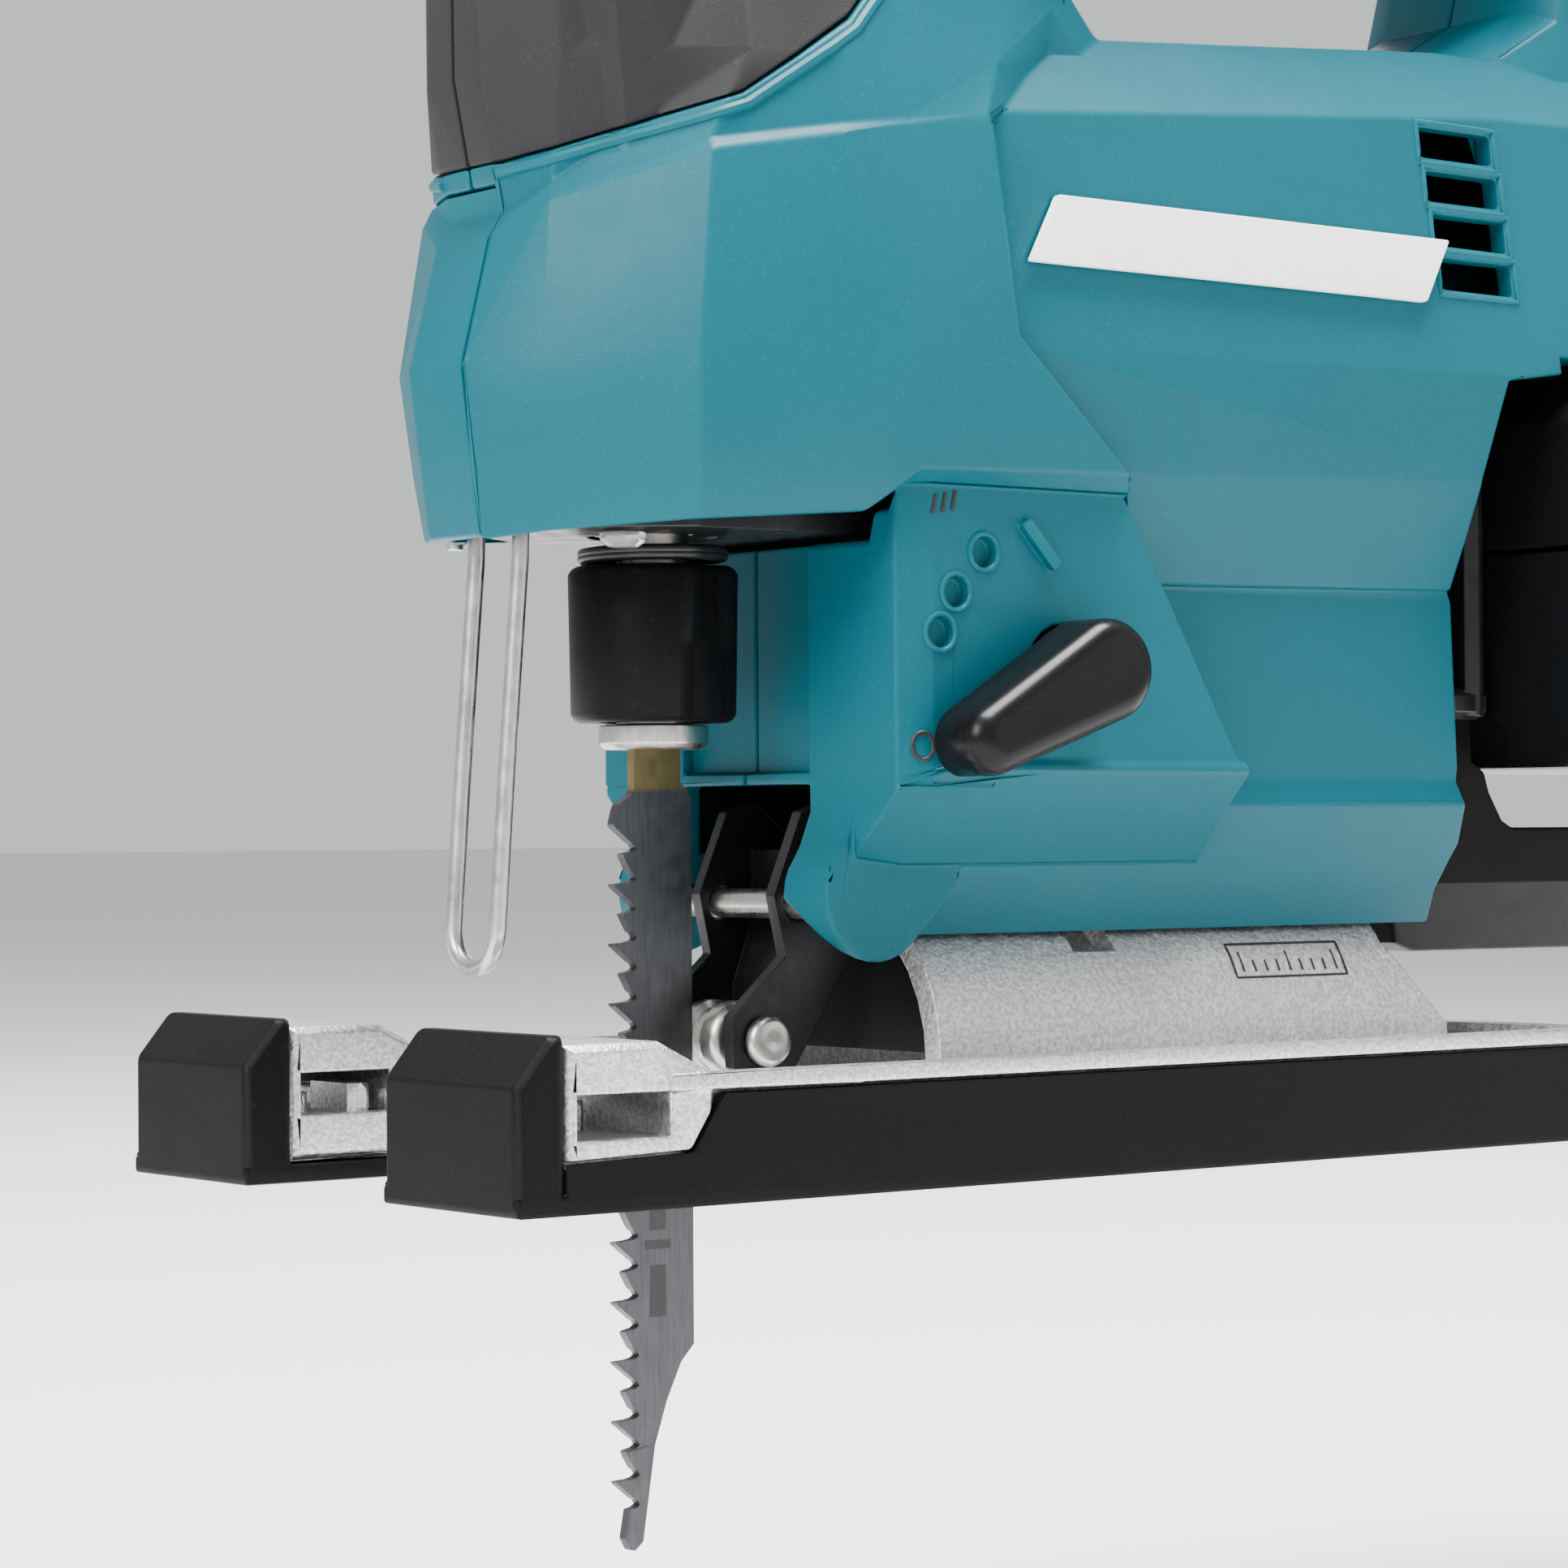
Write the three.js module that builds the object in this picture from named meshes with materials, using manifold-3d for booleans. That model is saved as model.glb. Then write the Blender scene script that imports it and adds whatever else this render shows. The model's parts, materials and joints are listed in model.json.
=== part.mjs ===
// Cordless D-handle jigsaw, built as the separate pieces it comes apart into.
// Millimetres, +Z up. The front of the tool is -X, its left side is -Y. The origin is the
// middle of the sole, on the plane that slides over the work.
import * as THREE from 'three';
import { mergeVertices } from 'three/addons/utils/BufferGeometryUtils.js';
import Module from 'manifold-3d';

const wasm = await Module();
wasm.setup();

// ---- driving dimensions ----
const GAP = 0.3;                       // clearance kept between touching pieces
const WALL = 2.6;                      // wall of the moulded housing
const BASE_HALF_LENGTH = 83;
const BASE_HALF_WIDTH = 38.5;
const RIM_TOP = 13.5;                  // top of the base's cast side rims
const FLOOR_TOP = 8.5;                 // top of the base's floor, inside the rims
const SLOT_HALF = 13.7;                // half the blade slot between the two prongs
const TILT_Z = 12;                     // height of the bevel axis, along X
const SADDLE_R = 21.3;                 // radius of the saddle that the housing tilts on
const SADDLE_X = [-14, 60];
const BLADE_X = -38.1;                 // centre of the blade and the plunger
const BLADE_BACK_X = -33.4;
const BLADE_TIP_Z = -42.2;
const STROKE = 26;
const CRANK_R = STROKE / 2;
const GEAR_Z = 106;                    // crank gear axis height
const MOTOR_Z = 88;                    // rotor axis height
const PINION_TEETH = 8;
const GEAR_TEETH = 49;
const FORK_PIVOT = [-23.9, 29.9];      // x, z of the blade retainer's pivot
const ROLLER_AXIS = [-28.6, 14.6];     // x, z of the blade roller
const ROLLER_R = 4.4;
const LEVER_AXIS = [-1.7, 55.8];       // x, z of the orbital lever's pivot
const PANEL_Y = 28.5;                  // half width at the lever panel
const OPENER_HINGE = [-46.8, 27];      // x, y of the tool opener's hinge pin
const GRIP_HALF = 19.5;                // half width of the handle
const BATTERY_X = [80, 183];
const BATTERY_Z = [45.6, 94.5];
const SEAM = 0.15;                     // half the gap between the two housing halves
const SMALLEST = 0.025;                // points nearer than this are one point

// ---- materials ----
const paint = (color, roughness, metalness = 0) =>
  new THREE.MeshStandardMaterial({ color, roughness, metalness });
const TEAL = paint('#0d8592', 0.5);
const SOFT = paint('#2c2b2e', 0.75);
const BLACK = paint('#1b1c1e', 0.45);
const CAST = paint('#b9bcc0', 0.45, 0.9);
const STEEL = paint('#a9a8a4', 0.3, 1);
const DARK_STEEL = paint('#3a3b3d', 0.4, 0.8);
const BLADE_STEEL = paint('#77797d', 0.4, 0.9);
const COPPER = paint('#b4662f', 0.4, 0.9);
const BRONZE = paint('#a5773f', 0.45, 0.9);
const CLEAR = paint('#e8eef2', 0.1);
const WHITE = paint('#f2f2f0', 0.5);
const BOARD = paint('#1f5a34', 0.6);

// ---- geometry helpers ----
function bare(geometry) {
  geometry.deleteAttribute('normal');
  geometry.deleteAttribute('uv');
  return mergeVertices(geometry, 1e-4);
}

function volume(positions, index) {
  const a = new THREE.Vector3(), b = new THREE.Vector3(), c = new THREE.Vector3();
  let total = 0;
  for (let i = 0; i < index.length; i += 3) {
    a.fromArray(positions, 3 * index[i]);
    b.fromArray(positions, 3 * index[i + 1]);
    c.fromArray(positions, 3 * index[i + 2]);
    total += a.dot(b.cross(c));
  }
  return total;
}

function solid(geometry) {
  const merged = bare(geometry.clone());
  const vertProperties = new Float32Array(merged.attributes.position.array);
  const triVerts = new Uint32Array(merged.index.array);
  if (volume(vertProperties, triVerts) < 0) {
    for (let i = 0; i < triVerts.length; i += 3) {
      [triVerts[i], triVerts[i + 1]] = [triVerts[i + 1], triVerts[i]];
    }
  }
  return new wasm.Manifold(new wasm.Mesh({ numProp: 3, vertProperties, triVerts }));
}

function geometryOf(body) {
  const mesh = body.getMesh();
  const geometry = new THREE.BufferGeometry();
  geometry.setAttribute('position', new THREE.BufferAttribute(new Float32Array(mesh.vertProperties), 3));
  geometry.setIndex(new THREE.BufferAttribute(new Uint32Array(mesh.triVerts), 1));
  return withoutSlivers(mergeVertices(geometry, SMALLEST));
}

// Drops the triangles that closed up when points nearer than SMALLEST were joined.
function withoutSlivers(geometry) {
  const old = geometry.index.array;
  const kept = [];
  for (let i = 0; i < old.length; i += 3) {
    const [a, b, c] = [old[i], old[i + 1], old[i + 2]];
    if (a !== b && b !== c && c !== a) kept.push(a, b, c);
  }
  geometry.setIndex(kept);
  return geometry;
}

const union = (...bodies) => bodies.reduce((sum, body) => sum.add(body));
const cut = (body, ...tools) => tools.reduce((rest, tool) => rest.subtract(tool), body);

// The main body of a cut piece, without the slivers that a cut can leave.
function mainBody(body) {
  return body.decompose().sort((a, b) => b.volume() - a.volume())[0];
}

// A block between two corners.
function block(low, high) {
  const size = high.map((value, k) => value - low[k]);
  const geometry = new THREE.BoxGeometry(...size);
  geometry.translate(...low.map((value, k) => value + size[k] / 2));
  return solid(geometry);
}

// A round bar along an axis, from a start coordinate to an end one, centred on the other two.
function rod(axis, radius, from, to, centre, sides = 20, endRadius = radius) {
  const geometry = new THREE.CylinderGeometry(endRadius, radius, to - from, sides);
  const middle = (from + to) / 2;
  if (axis === 'x') geometry.rotateZ(-Math.PI / 2).translate(middle, centre[0], centre[1]);
  if (axis === 'y') geometry.translate(centre[0], middle, centre[1]);
  if (axis === 'z') geometry.rotateX(Math.PI / 2).translate(centre[0], centre[1], middle);
  return solid(geometry);
}

function outline(points) {
  return new THREE.Shape(points.map(([u, v]) => new THREE.Vector2(u, v)));
}

// Plates cut from an outline: 'z' takes (x, y), 'y' takes (x, z), 'x' takes (y, z) points.
function plate(axis, shape, from, to, options = {}) {
  const bevel = options.bevel || 0;
  const geometry = new THREE.ExtrudeGeometry(shape instanceof THREE.Shape ? shape : outline(shape), {
    depth: to - from - 2 * bevel, curveSegments: options.curve || 8,
    bevelEnabled: bevel > 0, bevelThickness: bevel, bevelSize: bevel,
    bevelOffset: -bevel - (options.inset || 0), bevelSegments: options.steps || 1,
  });
  geometry.translate(0, 0, from + bevel);
  const place = new THREE.Matrix4();
  if (axis === 'y') place.set(1, 0, 0, 0, 0, 0, 1, 0, 0, 1, 0, 0, 0, 0, 0, 1);
  if (axis === 'x') place.set(0, 0, 1, 0, 1, 0, 0, 0, 0, 1, 0, 0, 0, 0, 0, 1);
  geometry.applyMatrix4(place);
  return solid(geometry);
}

// A closed body through rings that are mirrored about y = 0, capped in strips across the tool.
function loft(rings) {
  const count = rings[0].length;
  const positions = rings.flat(2);
  const index = [];
  for (let k = 0; k + 1 < rings.length; k++) {
    for (let i = 0; i < count; i++) {
      const a = k * count + i, b = k * count + (i + 1) % count;
      index.push(a, b, b + count, a, b + count, a + count);
    }
  }
  const last = (rings.length - 1) * count;
  for (let i = 0; i + 1 < count / 2; i++) {
    const far = count - 1 - i;
    index.push(i + 1, i, far, i + 1, far, far - 1);
    index.push(last + i, last + i + 1, last + far, last + i + 1, last + far - 1, last + far);
  }
  const geometry = new THREE.BufferGeometry();
  geometry.setAttribute('position', new THREE.BufferAttribute(new Float32Array(positions), 3));
  geometry.setIndex(index);
  return solid(geometry);
}

// A body of revolution about a line along Z, from (radius, z) points that start and end on it.
function turned(points, x, y, sides = 24) {
  const geometry = new THREE.LatheGeometry(points.map(([r, z]) => new THREE.Vector2(r, z)), sides);
  geometry.rotateX(Math.PI / 2).translate(x, y, 0);
  return solid(geometry);
}

// A wire of round section along a smooth curve.
function wire(points, radius, sides = 8, steps = 40, tension = 0.5) {
  const path = new THREE.CatmullRomCurve3(points.map(p => new THREE.Vector3(...p)), false, 'catmullrom', tension);
  const section = new THREE.Shape(Array.from({ length: sides }, (_, k) => new THREE.Vector2(
    radius * Math.cos(2 * Math.PI * k / sides), radius * Math.sin(2 * Math.PI * k / sides))));
  return solid(new THREE.ExtrudeGeometry(section, { steps, extrudePath: path, bevelEnabled: false }));
}

const mirrored = ring => [...ring, ...ring.map(([x, y, z]) => [x, -y, z]).reverse()];
const LEFT = block([-200, -200, -200], [300, -SEAM, 400]);
const RIGHT = block([-200, SEAM, -200], [300, 200, 400]);

const tool = new THREE.Group();
function add(name, body, material) {
  const mesh = new THREE.Mesh(geometryOf(body), material);
  mesh.name = name;
  tool.add(mesh);
}

// ---- base: cast frame, black cover plate, saddle and its clamp ----
const PRONG_X = -57;                   // the cover steps down in front of this
const BOLT_X = 12.5;                   // the bolt that locks the base to the housing
const WRENCH_HOLE_R = 8;
const TILT_LIMIT = Math.PI / 4;
function baseOutline(half, front, rear, slotHalf, slotEnd, slotWide) {
  return [[rear, -half + 8], [rear, half - 8], [rear - 8, half], [front, half], [front, slotHalf],
    [-60, slotHalf], [-60, slotWide], [slotEnd, slotWide], [slotEnd, -slotWide], [-60, -slotWide],
    [-60, -slotHalf], [front, -slotHalf], [front, -half], [rear - 8, -half]];
}

// The cover wraps up the outside of the rails, lower around the prongs.
const coverWall = (side, thickness, grow) => plate('y', [[-77 - grow, -grow], [BASE_HALF_LENGTH, -grow],
  [BASE_HALF_LENGTH, 11.5 + grow], [PRONG_X - grow, 11.5 + grow], [-61 - grow, 5.5 + grow], [-77 - grow, 5 + grow]],
side > 0 ? BASE_HALF_WIDTH - thickness : -BASE_HALF_WIDTH - grow,
side > 0 ? BASE_HALF_WIDTH + grow : -BASE_HALF_WIDTH + thickness);

function baseCasting() {
  const inner = BASE_HALF_WIDTH - 2;
  const floor = plate('z', baseOutline(inner, -76.6, 81, SLOT_HALF + 1.6, -12, 24.5), 2.3, FLOOR_TOP);
  const rim = side => block([-64, side > 0 ? 34 : -BASE_HALF_WIDTH, 11.8],
    [83, side > 0 ? BASE_HALF_WIDTH : -34, RIM_TOP]);
  const riser = side => block([-62, side > 0 ? 34 : -inner, 5], [81, side > 0 ? inner : -34, 12.4]);
  const bar = side => {
    const edges = [[-76.7, 2.3], [-58, 2.3], [-58, 13.5], [-65, 17], [-76.7, 17]];
    const low = side > 0 ? SLOT_HALF + 1 : -BASE_HALF_WIDTH + 0.4;
    return plate('y', edges, low, low + BASE_HALF_WIDTH - SLOT_HALF - 1.4, { bevel: 0.8 });
  };
  const guideWindow = block([-75.6, -60, 7.3], [-63.9, 60, 11.9]);
  const rearWall = block([76, -36.5, 5], [81, 36.5, RIM_TOP]);
  const bolt = rod('z', WRENCH_HOLE_R, -5, 20, [BOLT_X, 0], 24);
  const rails = union(floor, rim(1), rim(-1), riser(1), riser(-1), bar(1), bar(-1), rearWall);
  return cut(rails, bolt, guideWindow, coverWall(1, 2, GAP), coverWall(-1, 2, GAP));
}

function baseCover() {
  const sheet = plate('z', baseOutline(BASE_HALF_WIDTH, -83, 83, SLOT_HALF, -14, 23), 0, 2);
  const cap = side => {
    const edges = [[-83, 0.8], [-82.2, 0], [-77, 0], [-77, 18], [-78.8, 18], [-83, 13]];
    const low = side > 0 ? SLOT_HALF : -BASE_HALF_WIDTH;
    return plate('y', edges, low, low + BASE_HALF_WIDTH - SLOT_HALF, { bevel: 0.7 });
  };
  const rear = block([81.3, -34, 0], [83, 34, 11.5]);
  const bolt = rod('z', WRENCH_HOLE_R, -5, 3, [BOLT_X, 0], 24);
  return cut(union(sheet, coverWall(1, 1.7, 0), coverWall(-1, 1.7, 0), cap(1), cap(-1), rear), bolt);
}

function saddle() {
  const [from, to] = SADDLE_X;
  const shell = rod('x', SADDLE_R, from, to + 8, [0, TILT_Z], 48);
  const hollow = rod('x', SADDLE_R - 3, from - 1, to + 9, [0, TILT_Z], 32);
  const under = block([from - 2, -40, -40], [to + 10, 40, FLOOR_TOP + GAP]);
  const slope = plate('y', [[to, 40], [to, 24], [to + 3.6, 18.5], [to + 8.2, 13.6], [to + 20, 13],
    [to + 20, 40]], -30, 30);
  const arc = TILT_LIMIT + 0.18;
  const slot = plate('x', [[0, TILT_Z], [60 * Math.sin(arc), TILT_Z + 60 * Math.cos(arc)],
    [-60 * Math.sin(arc), TILT_Z + 60 * Math.cos(arc)]], BOLT_X - 3.2, BOLT_X + 3.2);
  return cut(shell, hollow, under, slope, slot);
}

add('base_casting', baseCasting(), CAST);
add('base_cover_plate', baseCover(), BLACK);
add('tilt_saddle', saddle(), CAST);

// ---- moulded housing, in two halves with a soft grip over each ----
// The head and the front pillar above it, as rings of the left side from the bottom up. Each ring
// runs from the nose over two corners to the rear edge, then round it to the inner side.
const FRONT_RINGS = [
  [[-64.5, -5.1, 69.7], [-60.4, -12.6, 70.5], [-50, -25.1, 71.4], [-30, -28.3, 72.8],
    [-24.5, -28.7, 76.2], [8, -28.9, 76.2], [6, -20, 76.2]],
  [[-65.6, -5.2, 77.4], [-61.3, -13.4, 77.6], [-50.9, -26.6, 77.8], [-33, -30.2, 77],
    [-24, -30.7, 77.6], [6.4, -31, 78.4], [4, -20, 78.4]],
  [[-67, -5.4, 88.5], [-62.6, -14.2, 89], [-52, -28.3, 89.7], [-33, -31.8, 91.2],
    [-24, -32.2, 91.8], [-11.6, -32.6, 93], [-8, -20, 93]],
  [[-63.4, -5.3, 102.5], [-60.4, -12.4, 106], [-48.4, -25.7, 110.9], [-33, -28.5, 113.6],
    [-24, -28.9, 115], [-12.6, -29.4, 116.8], [-6, -20, 117]],
  [[-61.7, -5.2, 105.2], [-59.6, -11.6, 108.2], [-47.7, -24.3, 112.2], [-33, -27.6, 114.7],
    [-24, -28.3, 116], [-12.8, -29.2, 117.6], [-5, -20, 118]],
  [[-64.7, -5.1, 120], [-59.4, -12.6, 121.5], [-42.4, -24.5, 122.5], [-30, -26.9, 123],
    [-20, -26.9, 123.5], [-9.4, -26.6, 124], [5, -19, 124]],
  [[-64.9, -5, 136], [-59, -12, 136], [-40.4, -20.7, 136], [-28, -22.8, 136],
    [-18, -22.8, 136], [-8.4, -22.4, 136], [8.8, -17.6, 136]],
  [[-58.7, -5, 160], [-52.4, -10, 160], [-34.4, -16.1, 160], [-24, -18.2, 160],
    [-14, -18.2, 160], [-4, -18, 160], [6, -15, 160]],
];
function front(inset) {
  const dx = [1, 0.7, 0.3, 0, 0, -0.8, -0.8], dy = [0.4, 0.9, 1, 1, 1, 1, 0.6];
  const last = FRONT_RINGS.length - 1;
  return loft(FRONT_RINGS.map((ring, level) => mirrored(ring.map(([x, y, z], k) =>
    [x + inset * dx[k], y + inset * dy[k], level === 0 || level === last ? z - inset : z]))));
}

// The motor barrel behind it: sections across X.
function barrelRing(x, rise, inset, tuck = 0) {
  const half = [[-17, 128.4 + rise], [-27.4 + rise * 0.11, 118 + rise * 1.1], [-30.6, 91.8 + rise * 0.2],
    [-28, 78.8 + rise * 0.2], [-23.4, 66 + rise * 0.2]];
  const shrink = ([y, z], k) => [x, y + inset + tuck,
    z - inset * [1, 0.6, 0, -0.4, -1][k] - tuck * [1.5, 0.5, 0, 0, 0][k]];
  return mirrored(half.map(shrink));
}

function barrel(inset) {
  const body = loft([barrelRing(-14 + inset, 0, inset, 1.4), barrelRing(-9 + inset, 0.41, inset),
    barrelRing(71, 7, inset), barrelRing(143 - inset, 9, inset)]);
  const under = [[160, 50], [160, 97.2], [79.6, 96.2], [79.6, 94.2], [70, 92.9], [67.7, 80.6], [67.3, 73.5],
    [66.8, 68], [66.8, 50]];
  return cut(body, plate('y', under.map(([x, z]) => [x - inset, z > 60 ? z + inset * 0.8 : z]), -50, 50));
}

// The lower block behind the blade: recessed side panels, a skirt, the lever panel and its ledge.
const THROAT_HALF = 11.8;              // half width of the recess behind the blade
const PANEL_FRONT = -25.3;
function lowerBlock(inset) {
  const side = [[-22, 70], [-21.6, 66], [-20.8, 43.8], [-22.6, 41], [-19.6, 34], [-16.6, 25.4]];
  const half = side.map(([y, z]) => [y + inset, z]);
  const across = left => [...left, ...left.map(([y, z]) => [-y, z]).reverse()];
  const long = plate('x', across(half), 2 + inset, 74 - inset);
  const foot = half.map(([y, z]) => [y, Math.max(z, 25.4)]).slice(2);
  const toe = plate('x', across(foot), -16 + inset, 10);
  const rearLow = plate('y', [[67.1, 75], [67.1, 69], [68.8, 66], [70.6, 45.5], [70.1, 41.3], [71, 36], [69, 30.4],
    [69, 20], [90, 20], [90, 75]].map(([x, z]) => [x - inset, z]), -40, 40);
  const panel = plate('y', [[-21, 77.4], [6.9 - inset, 77.4], [26.3 - inset, 44.8 + inset], [-21, 44.8 + inset]]
    .map(([x, z]) => [x + inset * 0.5, z]), -PANEL_Y + inset, PANEL_Y - inset);
  const ledgeRing = (x, edge) => mirrored(edge.map(([y, z]) => [x, y + inset, z + inset * 0.3]));
  const lip = [[-28.4, 46], [-29.3, 45.2], [-29.1, 44.4], [-25.1, 40.2], [-20.4, 34.4], [-8, 33]];
  const lipStart = [[-26, 44.6], [-27.5, 43.4], [-27.3, 42.4], [-23.9, 38.8], [-20.1, 35.2], [-8, 34.6]];
  const ledge = loft([ledgeRing(PANEL_FRONT + inset, lipStart), ledgeRing(-18.6 + inset, lip),
    ledgeRing(26.6 - inset, lip)]);
  const nose = PANEL_FRONT + inset, flank = PANEL_Y - inset;
  const post = plate('z', [[nose, -flank + 1.1], [-21 + inset * 0.3, -flank], [-12, -flank], [-12, flank],
    [-21 + inset * 0.3, flank], [nose, flank - 1.1], [nose, THROAT_HALF], [nose + 1.8, THROAT_HALF],
    [nose + 1.8, -THROAT_HALF], [nose, -THROAT_HALF]], 43 + inset, 77);
  return union(cut(union(long, toe), rearLow), panel, ledge, post);
}

// The two ears that carry the retainer's pivot, below the lever panel.
function ear(side) {
  const shape = new THREE.Shape();
  shape.moveTo(PANEL_FRONT + 0.3, 46);
  shape.lineTo(PANEL_FRONT + 0.2, 40.4);
  shape.lineTo(-26.4, 37.2);
  shape.lineTo(-28.1, 34.4);
  shape.absarc(-21.7, 30.9, 7.4, 0.86 * Math.PI, 1.78 * Math.PI, false);
  shape.lineTo(-10, 32);
  shape.lineTo(-10, 46);
  const low = side < 0 ? -19.8 : THROAT_HALF;
  return plate('y', shape, low, low + 8, { curve: 7 });
}

// The handle: one outline with the finger opening through it, rounded on both sides.
const OPENING = [[11.7, 137], [18.5, 129], [78, 135.8], [92, 143.5], [95, 154], [86, 165.5], [40, 169],
  [20, 167.5], [10, 153]];
const HANDLE = [[-55.4, 105], [-58.8, 138], [-60.2, 160], [-51.6, 179], [-36, 194], [-12, 202.5], [30, 206.4],
  [75, 206.4], [106, 200], [128, 186], [140, 164], [144, 138], [143, 114], [60, 106]];
function handle(inset) {
  const shape = outline(HANDLE);
  shape.holes.push(new THREE.Path(OPENING.map(([x, z]) => new THREE.Vector2(x, z))));
  const half = GRIP_HALF - inset;
  const bevel = 8 - inset * 0.5;
  return plate('y', shape, -half, half, { bevel, steps: 2, inset });
}

const outer = inset => union(front(inset), barrel(inset), handle(inset));

// Everything above this line is covered by the soft grip.
const gripZone = grow => plate('y', [[-80, 109.7 - grow], [-62, 110.8 - grow], [-43.6, 117.7 - grow],
  [-30 + grow, 127 - grow], [-14 + grow, 143], [4, 156 - grow], [12, 166.5 - grow], [96, 166.5 - grow],
  [102 - grow, 158], [97 - grow, 141 - grow], [112, 136 - grow], [150, 140 - grow], [150, 172], [112, 220],
  [-60, 220], [-80, 160]], -60, 60);

// Openings that pass through both the housing and the grip over it.
const LOCK_AXIS = [56, 186];           // x, z of the lock button
const DIAL_AXIS = [-46, 178];          // x, z of the speed dial
const dialSlot = () => block([-61, -4.3, 164], [-36, 4.3, 200]);
const lockHole = () => rod('y', 5.4, -40, 40, LOCK_AXIS, 20);
const triggerSlot = () => block([14.5, -6.8, 156], [44, 6.8, 182]);

const SCREWS = [[-54, 146], [-22, 185], [102, 186], [133, 122], [50, 55], [72, 116]];
const SCREW_HEAD_Y = 8.3;
const screwHoles = () => SCREWS.flatMap(c => [rod('y', 1.8, -10, 20, c, 10), rod('y', 3.3, SCREW_HEAD_Y, 60, c, 14)]);
const screwBosses = () => union(...SCREWS.map(c => rod('y', 4.6, -60, 60, c, 12)));

// Lugs on the right side that hold the tool opener's hinge pin.
const HINGE_LUGS = [[72, 77], [101, 106]];
function hingeLug([from, to]) {
  const [x, y] = OPENER_HINGE;
  return union(rod('z', 2.2, from, to, OPENER_HINGE, 14), block([x, y - 2.2, from], [x + 6, y + 0.6, to]));
}

function housing() {
  const zone = gripZone(GAP);
  const lining = outer(2 + GAP);
  const outside = union(cut(outer(0), cut(zone, lining)), lowerBlock(0), ear(1), ear(-1));
  const underGrip = union(handle(WALL + 3), front(WALL + 3.2), barrel(WALL + 3));
  const inside = union(underGrip, cut(union(barrel(WALL), front(WALL)), gripZone(3)), lowerBlock(WALL));
  const throat = block([-50, -23, 60], [PANEL_FRONT, 23, 76]);
  const recess = rod('x', SADDLE_R + 0.7, -30, 80, [0, TILT_Z], 48);
  const forkWell = plate('y', [[-30, 20], [-30, 43.4], [-12.5, 43.4], [-12.5, 20]], -THROAT_HALF, THROAT_HALF);
  const pivot = rod('y', 2.1, -14.6, 14.6, FORK_PIVOT, 16);
  const leverHole = rod('y', 5.4, -40, 0, LEVER_AXIS, 20);
  const detents = [[-13.5, 68.9], [-17.6, 64.4], [-19.8, 59.9]]
    .map(c => rod('y', 1.75, -40, -PANEL_Y + 1.2, c, 14));
  const vents = [0, 1, 2, 3].flatMap(k => [-1, 1].map(s =>
    block([58 + k * 0.5, s > 0 ? 20 : -40, 119.6 - k * 5.4], [70.5 + k * 0.5, s > 0 ? 40 : -20, 123.4 - k * 5.4])));
  const openerBay = union(block([-80, -5, 66], [OPENER_HINGE[0], 45, 108.3]),
    rod('z', 3.2, 66, 108.3, OPENER_HINGE, 16));
  const boltHole = rod('z', 3.4, 20, 50, [BOLT_X, 0], 12);
  const gearRoom = plate('x', [[-21.6, 73], [21.6, 73], [21.6, 119], [19, 125], [-19, 125], [-21.6, 119]], -16, -2);
  const batteryBay = block([77, -24, 90], [170, 24, 108]);
  const stopRib = plate('y', [[-8.6, 72], [-7.4, 73], [-2.6, 68], [-3.8, 67]], -PANEL_Y - 1, -PANEL_Y + 0.5);
  const hollowed = cut(outside, inside, gearRoom, throat, recess, forkWell, openerBay);
  const bosses = screwBosses().intersect(outer(3).add(lowerBlock(1)));
  return cut(union(hollowed, bosses, stopRib, ...HINGE_LUGS.map(hingeLug)), pivot, leverHole, ...detents, ...vents,
    triggerSlot(), lockHole(), dialSlot(), boltHole, batteryBay, rod('z', 1.3, 70, 108, OPENER_HINGE, 12), ...screwHoles());
}

function softGrip() {
  return cut(cut(outer(0), outer(2)).intersect(gripZone(0)), triggerSlot(), lockHole(), dialSlot(),
    ...SCREWS.map(c => rod('y', 3.3, SCREW_HEAD_Y, 60, c, 14)));
}

const shell = housing();
add('housing_left', mainBody(shell.intersect(LEFT)), TEAL);
add('housing_right', mainBody(shell.intersect(RIGHT)), TEAL);
const grip = softGrip();
add('grip_left', mainBody(grip.intersect(LEFT)), SOFT);
add('grip_right', mainBody(grip.intersect(RIGHT)), SOFT);

// Raised plain badge on the left side of the barrel.
const badgeShape = plate('y', [[-8, 101.4], [-3, 109.4], [60, 109.4], [55, 101.4]], -60, 0);
add('side_badge', cut(barrel(-1.3).intersect(badgeShape), barrel(-GAP)), WHITE);

SCREWS.forEach((c, k) => {
  const head = cut(rod('y', 2.9, SCREW_HEAD_Y + GAP, SCREW_HEAD_Y + 3, c, 16), rod('y', 1.4, SCREW_HEAD_Y + 1.4, 20, c, 6));
  add(`housing_screw_${k + 1}`, union(head, rod('y', 1.4, -8, SCREW_HEAD_Y + 1, c, 10)), DARK_STEEL);
});

// ---- tool opener on the nose, hinged on the right side ----
function opener() {
  const [x, y] = OPENER_HINGE;
  const reach = block([-80, -5 + GAP, 60], [x - 0.5, 45, 108]);
  const skin = cut(front(0), front(WALL)).intersect(reach);
  const knuckle = rod('z', 2.2, 77.4, 100.6, OPENER_HINGE, 14);
  const web = block([x - 3, y - 1.6, 77.4], [x, y + 1.2, 100.6]);
  const lugRoom = HINGE_LUGS.map(([from, to]) => rod('z', 2.9, from - 0.4, to + 0.4, OPENER_HINGE, 14));
  const floor = block([-80, -10, 60], [-40, 40, 70.2]);
  return cut(union(cut(skin, ...lugRoom, floor), knuckle, web), rod('z', 1.3, 60, 120, OPENER_HINGE, 12));
}
add('tool_opener', mainBody(opener()), TEAL);
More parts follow.
